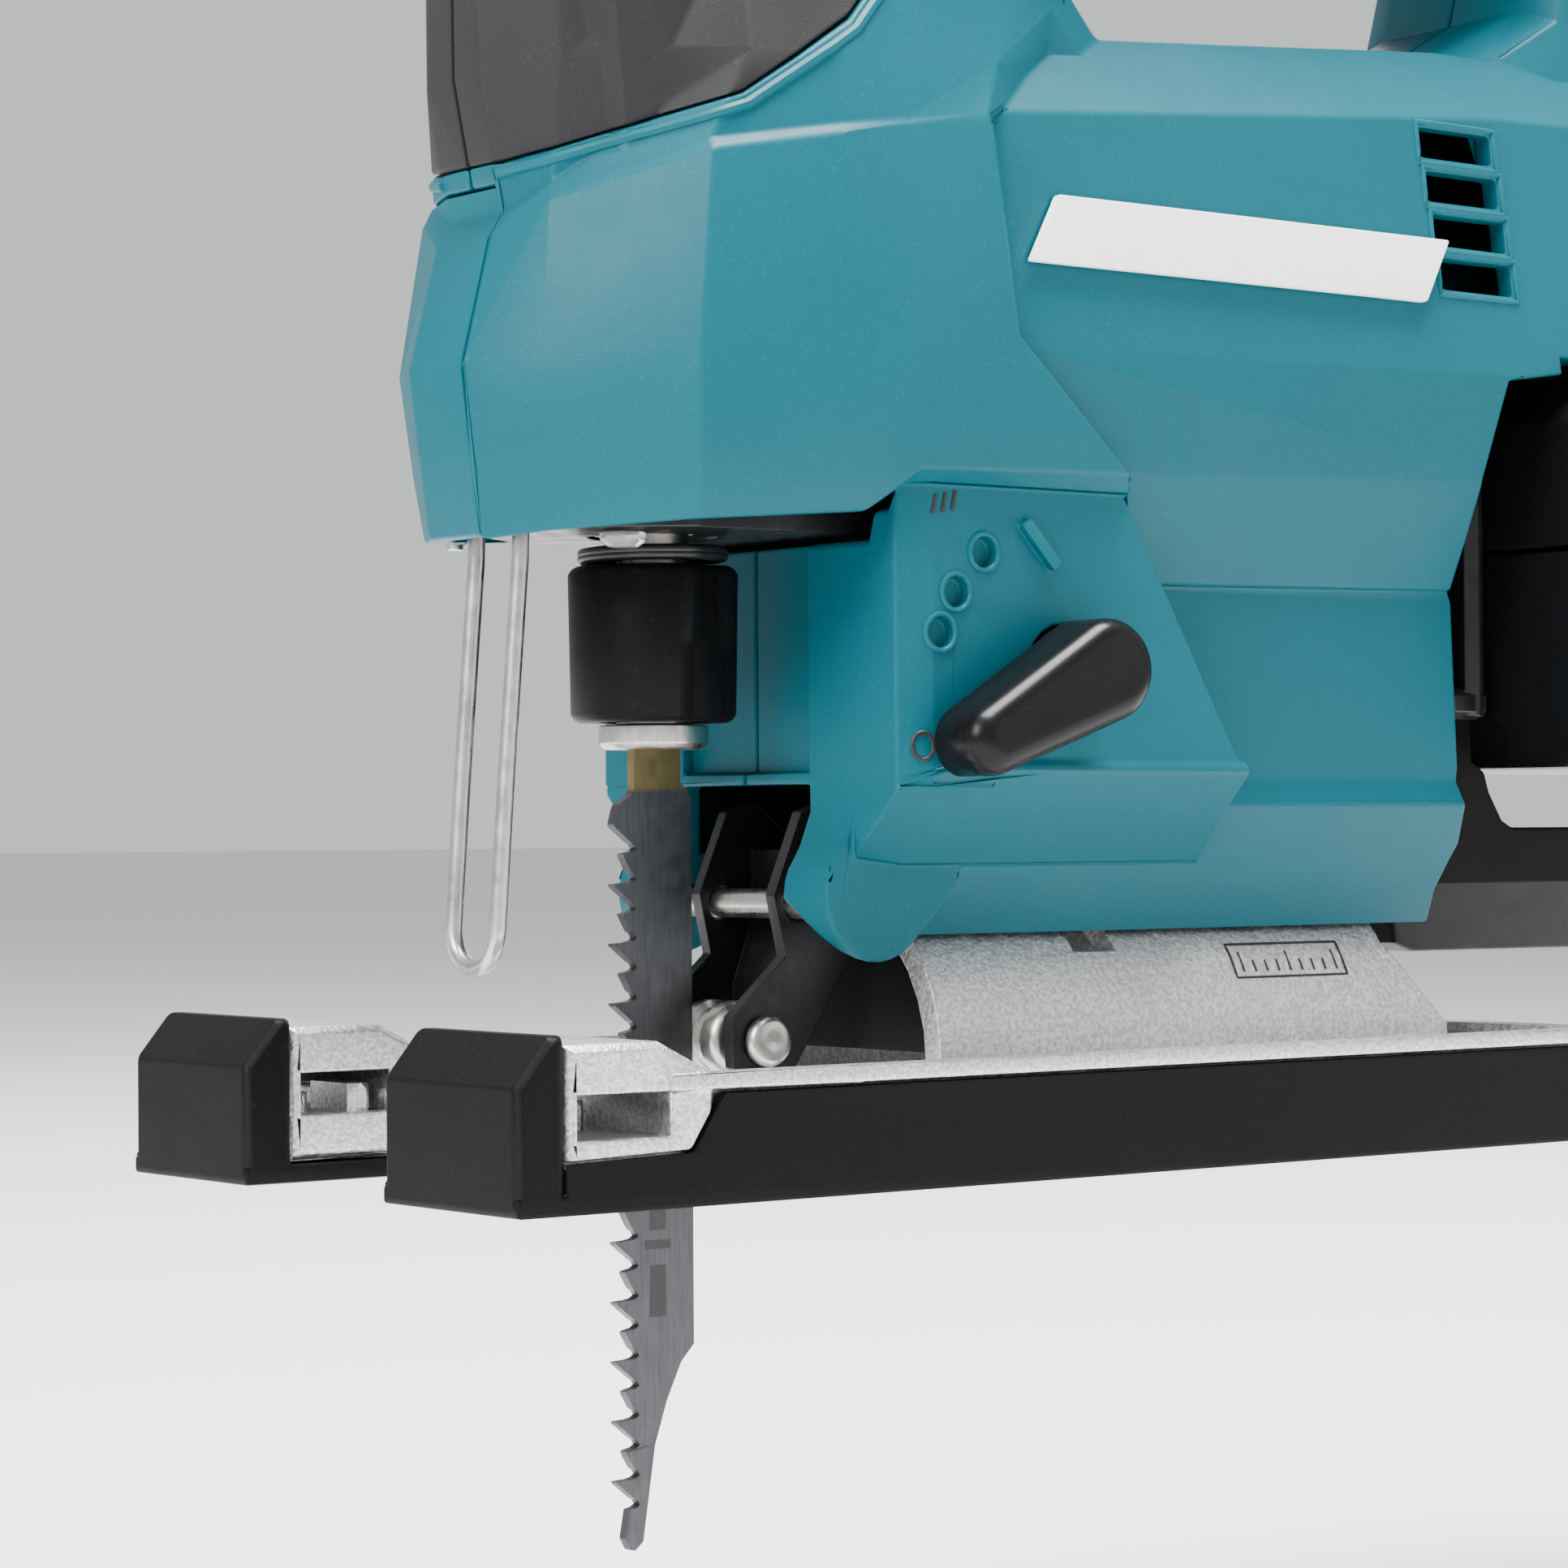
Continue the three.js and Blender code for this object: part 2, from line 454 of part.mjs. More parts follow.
add('opener_hinge_pin', rod('z', 1, 71, 107, OPENER_HINGE, 12), STEEL);

// ---- gear housing with the two bushings of the plunger ----
const FRAME_X = [-16, -9];             // rear plate, across the tool
const UPPER_BUSHING = [128, 138];
const LOWER_BUSHING = [71.5, 84];
function gearHousing() {
  const rearPlate = plate('x', [[-19, 71.2], [19, 71.2], [21, 80], [21, 118], [13, 128], [13, 139], [-13, 139],
    [-13, 128], [-21, 118], [-21, 80]], ...FRAME_X);
  const floor = plate('z', [[-56, -9], [-44, -17], [-12, -19], [-12, 19], [-44, 17], [-56, 9]], 71.2, 80);
  const tongue = block([-60.6, -6, 71.2], [-50, 6, 76]);
  const neck = rod('z', 10, 75, 84, [BLADE_X, 0], 20);
  const roof = plate('z', [[-47, -9], [-12, -12.5], [-12, 12.5], [-47, 9]], 127.5, 139);
  const bore = radius => rod('z', radius, 60, 150, [BLADE_X, 0], 20);
  const bearingSeat = rod('x', 8.3, -20, -11, [0, MOTOR_Z], 20);
  const shaftHole = rod('x', 4, -20, 0, [0, MOTOR_Z], 16);
  const gearHole = rod('x', 3.6, -20, 0, [0, GEAR_Z], 16);
  const wires = [-4.3, 4.3].map(y => rod('z', 1.4, 60, 90, [-58.8, y], 10));
  return cut(union(rearPlate, floor, tongue, neck, roof), bore(7.3), bearingSeat, shaftHole, gearHole, ...wires);
}
function bushing([from, to]) {
  return cut(rod('z', 7, from, to, [BLADE_X, 0], 24), rod('z', 4.5, from - 1, to + 1, [BLADE_X, 0], 20));
}
function ring(axis, outerR, innerR, from, to, centre, sides = 24) {
  return cut(rod(axis, outerR, from, to, centre, sides), rod(axis, innerR, from - 1, to + 1, centre, sides));
}
add('gear_housing', gearHousing(), CAST);
add('lower_bushing', bushing(LOWER_BUSHING), BRONZE);
add('upper_bushing', bushing(UPPER_BUSHING), BRONZE);
add('led_lens', turned([[0, 69.2], [1.6, 69.2], [2.6, 70], [2.6, 70.9], [0, 70.9]], -49, -9.5, 14), CLEAR);

// ---- motor ----
function toothed(radius, teeth, depth, from, to, centre) {
  const points = Array.from({ length: teeth * 2 }, (_, k) => {
    const angle = Math.PI * k / teeth, r = radius + (k % 2 ? depth : -depth);
    return [centre[0] + r * Math.sin(angle), centre[1] + r * Math.cos(angle)];
  });
  return plate('x', points, from, to);
}
const CENTRES = GEAR_Z - MOTOR_Z;
const PINION_R = CENTRES * PINION_TEETH / (PINION_TEETH + GEAR_TEETH);
const GEAR_R = CENTRES - PINION_R;
const MOTOR_AXIS = [0, MOTOR_Z];
const STACK_X = [4, 40];
const FAN_X = [43, 52];

function rotor() {
  const shaft = rod('x', 2.6, -16.6, 63, MOTOR_AXIS, 16);
  const pinion = toothed(PINION_R - 0.35, PINION_TEETH, 0.25, -22.6, -15.6, MOTOR_AXIS);
  return union(shaft, pinion, rod('x', 11.6, STACK_X[0], STACK_X[1], MOTOR_AXIS, 24));
}
function fan() {
  const blades = Array.from({ length: 9 }, (_, k) => {
    const angle = 2 * Math.PI * k / 9;
    const fin = new THREE.BoxGeometry(FAN_X[1] - FAN_X[0] - 2.4, 1.2, 11);
    fin.translate((FAN_X[0] + FAN_X[1]) / 2 + 0.6, 0, 11.6).rotateX(angle).translate(0, 0, MOTOR_Z);
    return solid(fin);
  });
  const disc = rod('x', 18, FAN_X[0], FAN_X[0] + 1.8, MOTOR_AXIS, 28);
  const hub = rod('x', 6.4, FAN_X[0], FAN_X[1], MOTOR_AXIS, 18);
  return cut(union(disc, hub, ...blades), rod('x', 2.9, 30, 70, MOTOR_AXIS, 18));
}
function stator() {
  const slots = Array.from({ length: 6 }, (_, k) => {
    const tool = new THREE.BoxGeometry(60, 5, 3.4);
    tool.translate(20, 0, 14.6).rotateX(2 * Math.PI * k / 6).translate(0, 0, MOTOR_Z);
    return solid(tool);
  });
  return cut(ring('x', 18.6, 12.4, STACK_X[0], STACK_X[1], MOTOR_AXIS, 28), ...slots);
}
add('rotor', rotor(), DARK_STEEL);
add('cooling_fan', fan(), BLACK);
add('stator', stator(), COPPER);
add('front_bearing', ring('x', 8, 2.9, -15.7, -11.3, MOTOR_AXIS), STEEL);
add('rear_bearing', ring('x', 7, 2.9, 55.5, 61, MOTOR_AXIS), STEEL);

// ---- crank and plunger ----
const YOKE_X = [-33.5, -26.5];
function crankGear() {
  const wheel = toothed(GEAR_R, GEAR_TEETH, 0.35, -22.6, -17, [0, GEAR_Z]);
  const shaft = rod('x', 3.2, -18, -9.4, [0, GEAR_Z], 16);
  const pin = rod('x', 2.2, YOKE_X[1] + 0.6, -22, [0, GEAR_Z + CRANK_R], 14);
  return union(wheel, shaft, pin);
}
function plunger() {
  const top = GEAR_Z + CRANK_R;
  const shaft = rod('z', 4.1, 61, 166, [BLADE_X, 0], 20);
  const yoke = block([YOKE_X[0], -18.6, top - 5.5], [YOKE_X[1], 18.6, top + 5.5]);
  const boss = block([-43, -5, top - 5.5], [-33, 5, top + 5.5]);
  const slot = block([-29.5, -16.4, top - 2.9], [YOKE_X[1] + 1, 16.4, top + 2.9]);
  return cut(union(shaft, yoke, boss), slot);
}
function clampCollar() {
  const skirt = ring('z', 9.5, 4.9, 50.4, 67.9, [BLADE_X, 0], 28);
  const step = block([-33, -12, 58], [-28, -3.4, 70]);
  return cut(skirt, step);
}
function clampNose() {
  const stem = rod('z', 4.2, 47.4, 60.6, [BLADE_X, 0], 20);
  const flange = turned([[0, 47.4], [5.6, 47.4], [6.2, 48], [6.2, 50.1], [0, 50.1]], BLADE_X, 0, 24);
  return cut(union(stem, flange), block([BLADE_X - 3.5, -1.1, 40], [BLADE_X + 3.5, 1.1, 59]));
}
add('crank_gear', crankGear(), DARK_STEEL);
add('plunger', plunger(), STEEL);
add('clamp_collar', clampCollar(), BLACK);
add('clamp_nose', clampNose(), STEEL);
add('clamp_spring', ring('z', 7.4, 6, 68.3, 69.6, [BLADE_X, 0], 24), DARK_STEEL);

// ---- jigsaw blade: shank, toothed edge to the front, angled tip ----
const TOOTH_PITCH = 3.33;
function blade() {
  const teethTop = 39, teethBottom = BLADE_TIP_Z + 3.2;
  const shape = new THREE.Shape();
  shape.moveTo(-41.3, 58);
  shape.lineTo(-41.3, 42.6);
  shape.lineTo(-43.6, 41);
  const count = Math.floor((teethTop - teethBottom) / TOOTH_PITCH);
  for (let k = 0; k < count; k++) {
    const z = teethTop - k * TOOTH_PITCH;
    const gullet = k % 2 ? 2 : 3;
    shape.lineTo(-43.9, z);
    shape.lineTo(-43.9 + gullet, z - 0.6);
    shape.lineTo(-43.9 + gullet, z - TOOTH_PITCH * 0.55);
    shape.lineTo(-43.9, z - TOOTH_PITCH * 0.92);
  }
  shape.lineTo(-43.2, BLADE_TIP_Z + 1.4);
  shape.lineTo(-42.1, BLADE_TIP_Z);
  shape.lineTo(-40.6, BLADE_TIP_Z + 1);
  shape.lineTo(-38.9, -30.5);
  shape.lineTo(-35.2, -21.5);
  shape.lineTo(BLADE_BACK_X, -19.6);
  shape.lineTo(BLADE_BACK_X, 42);
  shape.lineTo(-34.9, 43.4);
  shape.lineTo(-34.9, 58);
  return plate('y', shape, -0.7, 0.7);
}
add('jigsaw_blade', blade(), BLADE_STEEL);

// ---- blade retainer: sheet fork, roller and their pins ----
function fork() {
  const side = [[-19, 41.6], [-23.2, 40.4], [-27.2, 31], [-25.6, 24], [-33.2, 17.4], [-33, 11.6], [-29, 10],
    [-24.4, 11], [-15.6, 24.5], [-14.6, 38]];
  const body = plate('y', side, -7.8, 7.8);
  const hollow = plate('y', [[-60, 0], [-60, 60], [-19.6, 60], [-19.6, 28], [-22.4, 20.6], [-22.4, 0]], -6.2, 6.2);
  const rearOpen = plate('y', [[-40, 36], [-40, 60], [0, 60], [0, 36]], -6.2, 6.2);
  return cut(body, hollow, rearOpen, rod('y', 2, -10, 10, FORK_PIVOT, 14), rod('y', 1.7, -10, 10, ROLLER_AXIS, 14));
}
function rollerPin() {
  const [x, z] = ROLLER_AXIS;
  const head = rod('y', 2.9, -9.6, -8.1, ROLLER_AXIS, 20, 2.2);
  return union(head, rod('y', 1.4, -8.6, 8.6, [x, z], 14), rod('y', 2.2, 8.1, 9.1, [x, z], 14));
}
add('retainer_fork', fork(), DARK_STEEL);
add('retainer_pivot_pin', rod('y', 1.7, -14.2, 14.2, FORK_PIVOT, 14), STEEL);
add('blade_roller', ring('y', ROLLER_R, 1.7, -4.2, 4.2, ROLLER_AXIS, 24), STEEL);
add('roller_pin', rollerPin(), STEEL);

// ---- wire guard in front of the blade ----
function guardWire() {
  const r = 0.95, half = 4.3, foot = 23.4 + half;
  const arc = Array.from({ length: 7 }, (_, k) => {
    const angle = Math.PI * (k + 1) / 8;
    return [-62.2 - 0.2 * Math.sin(angle), -half * Math.cos(angle), foot - half * Math.sin(angle)];
  });
  const points = [[-58.8, -half, 75.4], [-59, -half, 68], [-61, -half, 44], [-62.2, -half, foot], ...arc,
    [-62.2, half, foot], [-61, half, 44], [-59, half, 68], [-58.8, half, 75.4]];
  return wire(points, r, 8, 44, 0.3);
}
add('guard_wire', guardWire(), STEEL);

// ---- orbital lever ----
function orbitalLever() {
  const [x, z] = LEVER_AXIS;
  const knob = new THREE.Shape();
  knob.moveTo(x - 2.6, z + 5.8);
  knob.absarc(x + 0.4, z, 6.2, 2.1, -1.2, true);
  knob.lineTo(x - 17.4, z - 11.4);
  knob.lineTo(x - 20.4, z - 10.6);
  knob.lineTo(x - 21.4, z - 6.2);
  knob.lineTo(x - 19.6, z - 4);
  const grip = plate('y', knob, -38.2, -PANEL_Y - 1.4, { bevel: 1.6, steps: 2, curve: 10 });
  return union(grip, rod('y', 5, -32, -12, LEVER_AXIS, 20), block([x - 2.4, -14, z - 4.4], [x + 4.4, -4, z + 4.4]));
}
add('orbital_lever', orbitalLever(), BLACK);

// ---- base clamp: bolt through the saddle's slot and a clamp plate under it ----
function baseBolt() {
  const head = cut(rod('z', 4.5, 21.6, 26.2, [BOLT_X, 0], 20), rod('z', 2.3, 20, 24.8, [BOLT_X, 0], 6));
  return union(head, rod('z', 2.5, 25, 44, [BOLT_X, 0], 14));
}
function clampPlate() {
  const segment = ring('x', SADDLE_R - 3.4, SADDLE_R - 5.6, BOLT_X - 12, BOLT_X + 12, [0, TILT_Z], 48);
  return cut(segment.intersect(block([-20, -7.6, TILT_Z], [60, 7.6, 60])), rod('z', 2.9, 20, 40, [BOLT_X, 0], 14));
}
add('base_bolt', baseBolt(), STEEL);
add('base_clamp_plate', clampPlate(), STEEL);

// ---- handle controls ----
add('trigger', plate('y', [[16, 178], [16, 163.4], [19, 159], [35, 160.4], [43, 167.4], [43, 178]], -6.4, 6.4,
  { bevel: 1, steps: 1 }), SOFT);
add('lock_button', union(rod('y', 5, -19, 19, LOCK_AXIS, 20), rod('y', 4.2, -22.4, 22.4, LOCK_AXIS, 20)), BLACK);
function speedDial() {
  const [x, z] = DIAL_AXIS;
  const teeth = Array.from({ length: 36 }, (_, k) => {
    const angle = Math.PI * k / 18, r = k % 2 ? 8.6 : 8.1;
    return [x + r * Math.cos(angle), z + r * Math.sin(angle)];
  });
  return plate('y', teeth, -3.8, 3.8);
}
add('speed_dial', speedDial(), BLACK);
add('switch_body', block([12, -8, 186.4], [46, 8, 198]), BLACK);
add('controller_board', block([66, -12, 112], [69, 12, 126]), BOARD);

// ---- battery, its terminals, and the bracket in front of and under it ----
const BRACKET = [[69.8, 30.2], [69.6, 26.2], [73, 23.4], [77.5, 22.2], [122, 22], [124, 24], [124, 36], [122, 38],
  [87, 38], [85, 39], [82.7, 42.5], [81.8, 45.1], [79.4, 46.6], [79.4, 93.4], [71.3, 92.3], [68.8, 80.5],
  [68.4, 73.5], [68.2, 69.4], [69.6, 66.3], [71.4, 45.6], [70.9, 41.3], [71.8, 36]];
function rearBracket() {
  const profile = [[-6, 22], [6, 22], [15, 31], [15, 96], [-15, 96], [-15, 31]];
  return plate('y', BRACKET, -30, 30).intersect(plate('x', profile, 50, 130));
}
function batteryLower() {
  const [from, to] = BATTERY_X;
  const [low, high] = BATTERY_Z;
  const side = [[from, low + 7], [from + 5, low], [to - 9, low], [to, low + 9], [to, high - 22], [from, high - 22]];
  return plate('y', side, -36, 36, { bevel: 3.5, steps: 2 });
}
function batteryUpper() {
  const [from, to] = BATTERY_X;
  const high = BATTERY_Z[1];
  const side = [[from, high - 21.6], [to, high - 21.6], [to, high - 7], [to - 6, high], [from + 5, high], [from, high - 6]];
  const cover = plate('y', side, -36, 36, { bevel: 1.6, steps: 2 });
  const neck = block([86, -17, high - 2], [148, 17, 99.4]);
  const rails = block([86, -21, 99.2], [148, 21, 103.4]);
  const buttonWell = block([170, -9, 77.5], [190, 9, 100]);
  const contacts = [-8, 0, 8].map(y => block([80, y - 1.2, 96.4], [98, y + 1.2, 110]));
  return cut(union(cover, neck, rails), buttonWell, ...contacts);
}
add('rear_bracket', rearBracket(), BLACK);
add('battery_lower_case', batteryLower(), BLACK);
add('battery_upper_case', batteryUpper(), BLACK);
add('battery_button', block([171, -8.4, 82.6], [182.6, 8.4, 92]), SOFT);
function terminalBlock() {
  const blades = [-8, 0, 8].map(y => block([80, y - 0.5, 98.4], [92, y + 0.5, 102]));
  return union(block([78, -16, 97.4], [82, 16, 106.6]), ...blades);
}
add('terminal_block', terminalBlock(), BLACK);
function hexWrench() {
  const x = 76, y = -17.6;
  return union(rod('z', 2, 52, 90, [x, y], 6), rod('x', 2, 71.6, x + 1.4, [y, 53.6], 6));
}
add('hex_wrench', hexWrench(), DARK_STEEL);

export default tool;
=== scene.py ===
"""Looks of a battery jigsaw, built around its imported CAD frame. Metres, +Z up, front is -X."""
import json
import math

import bmesh
import bpy
from mathutils import Matrix, Vector
from mathutils.bvhtree import BVHTree


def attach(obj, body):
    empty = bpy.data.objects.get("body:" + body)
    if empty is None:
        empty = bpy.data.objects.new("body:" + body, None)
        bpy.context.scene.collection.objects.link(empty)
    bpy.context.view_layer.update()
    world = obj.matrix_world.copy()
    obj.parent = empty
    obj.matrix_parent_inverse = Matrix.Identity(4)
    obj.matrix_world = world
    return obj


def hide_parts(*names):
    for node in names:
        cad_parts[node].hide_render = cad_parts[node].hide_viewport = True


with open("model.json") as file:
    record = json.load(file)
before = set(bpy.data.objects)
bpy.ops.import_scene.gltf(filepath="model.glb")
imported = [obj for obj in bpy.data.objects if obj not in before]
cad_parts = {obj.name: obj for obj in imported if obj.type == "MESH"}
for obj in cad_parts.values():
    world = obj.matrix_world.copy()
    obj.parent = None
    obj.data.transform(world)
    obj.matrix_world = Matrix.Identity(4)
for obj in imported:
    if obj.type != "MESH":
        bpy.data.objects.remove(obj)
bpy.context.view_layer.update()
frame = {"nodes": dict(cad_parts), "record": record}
MM = 0.001


# ---------------------------------------------------------------- camera, floor and light
def look_camera(name, location, yaw, pitch, roll, lens):
    """A camera at a place, turned by yaw from +Y towards +X, then pitched up and rolled."""
    forward = Vector((math.sin(yaw) * math.cos(pitch), math.cos(yaw) * math.cos(pitch), math.sin(pitch)))
    right = Vector((math.cos(yaw), -math.sin(yaw), 0))
    up = right.cross(forward)
    right_rolled = right * math.cos(roll) + up * math.sin(roll)
    up_rolled = up * math.cos(roll) - right * math.sin(roll)
    turn = Matrix((right_rolled, up_rolled, -forward)).transposed().to_4x4()
    data = bpy.data.cameras.new(name)
    data.lens = lens
    data.sensor_width = 36
    data.clip_start = 0.02
    data.clip_end = 60
    camera = bpy.data.objects.new(name, data)
    camera.matrix_world = Matrix.Translation(location) @ turn
    bpy.context.scene.collection.objects.link(camera)
    bpy.context.scene.camera = camera


def area_light(name, location, target, size, watts, colour=(1, 1, 1)):
    """A square softbox at a place, facing its target."""
    data = bpy.data.lights.new(name, "AREA")
    data.size = size
    data.energy = watts
    data.color = colour
    light = bpy.data.objects.new(name, data)
    direction = Vector(target) - Vector(location)
    light.rotation_euler = direction.to_track_quat("-Z", "Y").to_euler()
    light.location = location
    bpy.context.scene.collection.objects.link(light)


CAMERA_AT = (-313.9, -379.0, 38.5)     # mm
CAMERA_TURN = (37.832, 0.605, -0.342)  # yaw, pitch and roll in degrees
CAMERA_LENS = 95.64
FLOOR_Z = -0.074                       # metres, under the blade's tip at full stroke
FLOOR_SIZE = 40


def even_sky():
    """A pale world that lights the object from all round."""
    world = bpy.data.worlds.new("studio")
    world.use_nodes = True
    background = world.node_tree.nodes["Background"]
    background.inputs["Color"].default_value = (0.93, 0.94, 0.95, 1)
    background.inputs["Strength"].default_value = 0.82
    bpy.context.scene.world = world


def paper_floor():
    bpy.ops.mesh.primitive_plane_add(size=FLOOR_SIZE, location=(0, 0, FLOOR_Z))
    floor = bpy.context.object
    floor.name = "studio_floor"
    paper = bpy.data.materials.new("paper")
    paper.use_nodes = True
    shader = paper.node_tree.nodes["Principled BSDF"]
    shader.inputs["Base Color"].default_value = (0.76, 0.76, 0.76, 1)
    shader.inputs["Roughness"].default_value = 0.9
    floor.data.materials.append(paper)


def studio():
    look_camera("camera", Vector(CAMERA_AT) * MM, *map(math.radians, CAMERA_TURN), CAMERA_LENS)
    even_sky()
    paper_floor()
    area_light("key", (-1.3, -0.3, 0.85), (-0.02, 0, 0.09), 0.7, 32, (1, 0.99, 0.97))
    area_light("top", (0.1, -0.1, 1.3), (0.05, 0, 0.12), 0.7, 86)
    area_light("side_card", (0.95, -1.2, 0.5), (0.02, 0, 0.09), 0.9, 3)
    area_light("rear", (1.1, 0.7, 0.6), (0.05, 0, 0.1), 0.8, 8)


# ---------------------------------------------------------------- material kit
class Paint:
    """A Principled material with helpers to hang textures on it. Texture sizes are in mm."""

    def __init__(self, name, colour, roughness, metallic=0.0, specular=0.5):
        self.material = bpy.data.materials.new(name)
        self.material.use_nodes = True
        self.nodes = self.material.node_tree.nodes
        self.links = self.material.node_tree.links
        self.shader = self.nodes["Principled BSDF"]
        self.colour = colour
        self.shader.inputs["Base Color"].default_value = (*colour, 1)
        self.shader.inputs["Roughness"].default_value = roughness
        self.shader.inputs["Metallic"].default_value = metallic
        self.shader.inputs["Specular IOR Level"].default_value = specular
        self.coords = self.nodes.new("ShaderNodeTexCoord").outputs["Object"]
        self.normal = None

    def stretched(self, scale):
        """Texture coordinates scaled per axis: a factor below 1 draws the pattern out along it."""
        mapping = self.nodes.new("ShaderNodeMapping")
        mapping.inputs["Scale"].default_value = scale
        self.links.new(self.coords, mapping.inputs["Vector"])
        return mapping.outputs["Vector"]

    def noise(self, size, detail=3.0, rough=0.5, stretch=None):
        node = self.nodes.new("ShaderNodeTexNoise")
        node.inputs["Scale"].default_value = 1000.0 / size
        node.inputs["Detail"].default_value = detail
        node.inputs["Roughness"].default_value = rough
        self.links.new(self.stretched(stretch) if stretch else self.coords, node.inputs["Vector"])
        return node.outputs["Fac"]

    def cells(self, size):
        node = self.nodes.new("ShaderNodeTexVoronoi")
        node.inputs["Scale"].default_value = 1000.0 / size
        self.links.new(self.coords, node.inputs["Vector"])
        return node.outputs["Distance"]

    def ramp(self, source, low, high, from_value, to_value):
        node = self.nodes.new("ShaderNodeMapRange")
        node.inputs["From Min"].default_value = low
        node.inputs["From Max"].default_value = high
        node.inputs["To Min"].default_value = from_value
        node.inputs["To Max"].default_value = to_value
        self.links.new(source, node.inputs["Value"])
        return node.outputs["Result"]

    def blend_colour(self, factor, colour):
        """Mixes one more colour over the ones so far, by a factor from a texture."""
        mix = self.nodes.new("ShaderNodeMix")
        mix.data_type = "RGBA"
        self.links.new(factor, mix.inputs["Factor"])
        socket = self.shader.inputs["Base Color"]
        if socket.is_linked:
            self.links.new(socket.links[0].from_socket, mix.inputs["A"])
        else:
            mix.inputs["A"].default_value = (*self.colour, 1)
        mix.inputs["B"].default_value = (*colour, 1)
        self.links.new(mix.outputs["Result"], socket)

    def vary_roughness(self, source, low, high):
        self.links.new(self.ramp(source, 0.3, 0.7, low, high), self.shader.inputs["Roughness"])

    def bump(self, source, height_mm):
        node = self.nodes.new("ShaderNodeBump")
        node.inputs["Distance"].default_value = height_mm * MM
        self.links.new(source, node.inputs["Height"])
        if self.normal is not None:
            self.links.new(self.normal, node.inputs["Normal"])
        self.normal = node.outputs["Normal"]
        self.links.new(self.normal, self.shader.inputs["Normal"])

    def axis(self, letter):
        split = self.nodes.new("ShaderNodeSeparateXYZ")
        self.links.new(self.coords, split.inputs["Vector"])
        return split.outputs[letter]

    def painted_edge_highlight(self, colour, amount):
        """Painted highlight: a lighter colour mixed in where the surface is convex, along its edges."""
        geometry = self.nodes.new("ShaderNodeNewGeometry")
        self.blend_colour(self.ramp(geometry.outputs["Pointiness"], 0.52, 0.62, 0, amount), colour)


def moulded_plastic(name, colour, roughness, grain_mm, grain_height, tint, edge, specular=0.3):
    """Injection-moulded plastic: spark-eroded grain, faint cloudiness and a painted highlight on convex
    edges.
    """
    paint = Paint(name, colour, roughness, specular=specular)
    paint.blend_colour(paint.ramp(paint.noise(22, 2), 0.35, 0.7, 0, 0.35), tint)
    paint.blend_colour(paint.ramp(paint.noise(0.5, 1), 0.62, 0.75, 0, 0.3), edge)
    paint.vary_roughness(paint.noise(7, 3), roughness - 0.02, roughness + 0.04)
    paint.bump(paint.noise(grain_mm, 2, 0.6), grain_height)
    # painted highlight: convex edges drawn lighter in the edge colour
    paint.painted_edge_highlight(edge, 0.35)
    return paint.material


def soft_rubber():
    """Fine-grained matt grip rubber with pale specks and a trace of sheen."""
    paint = Paint("soft_grip", (0.014, 0.0135, 0.0145), 0.62, specular=0.2)
    paint.blend_colour(paint.ramp(paint.noise(0.5, 1), 0.68, 0.74, 0, 0.3), (0.05, 0.048, 0.05))
    paint.blend_colour(paint.ramp(paint.noise(18, 2), 0.4, 0.7, 0, 0.4), (0.02, 0.019, 0.021))
    paint.vary_roughness(paint.noise(9, 3), 0.56, 0.7)
    paint.bump(paint.noise(0.32, 2, 0.6), 0.035)
    paint.shader.inputs["Sheen Weight"].default_value = 0.03
    paint.shader.inputs["Sheen Roughness"].default_value = 0.5
    return paint.material


def cast_metal():
    """Bead-blasted die casting: coarse bright grain with a few darker pores."""
    paint = Paint("blasted_casting", (0.70, 0.695, 0.69), 0.36, metallic=1.0)
    paint.blend_colour(paint.ramp(paint.noise(0.55, 3), 0.4, 0.6, 0, 0.65), (0.34, 0.34, 0.35))
    paint.blend_colour(paint.ramp(paint.noise(5, 3), 0.45, 0.75, 0, 0.3), (0.55, 0.55, 0.56))
    paint.vary_roughness(paint.noise(1.2, 3), 0.34, 0.52)
    paint.bump(paint.noise(0.42, 3, 0.65), 0.1)
    paint.bump(paint.cells(0.9), 0.03)
    return paint.material


def ground_steel(name, colour, roughness, stretch):
    """Bright steel with fine grinding lines along one axis."""
    paint = Paint(name, colour, roughness, metallic=1.0)
    lines = paint.noise(0.25, 2, 0.5, stretch)
    paint.blend_colour(paint.ramp(lines, 0.35, 0.7, 0, 0.4), tuple(c * 0.62 for c in colour))
    paint.vary_roughness(paint.noise(2.5, 3), roughness - 0.06, roughness + 0.1)
    paint.bump(lines, 0.01)
    return paint.material


SHANK_Z = (0.0425, 0.0432)             # metres, where the blade's heat tint fades in


def blade_metal():
    """Grey hardened blade: lengthwise grinding and a heat-tinted shank."""
    paint = Paint("blade_steel", (0.075, 0.077, 0.082), 0.38, metallic=0.85)
    lines = paint.noise(0.3, 2, 0.5, (1, 1, 0.05))
    paint.blend_colour(paint.ramp(lines, 0.35, 0.7, 0, 0.5), (0.04, 0.04, 0.043))
    tint = paint.ramp(paint.axis("Z"), SHANK_Z[0], SHANK_Z[1], 0, 0.8)
    paint.blend_colour(tint, (0.20, 0.14, 0.05))
    paint.vary_roughness(paint.noise(1.5, 3), 0.3, 0.45)
    paint.bump(lines, 0.008)
    return paint.material


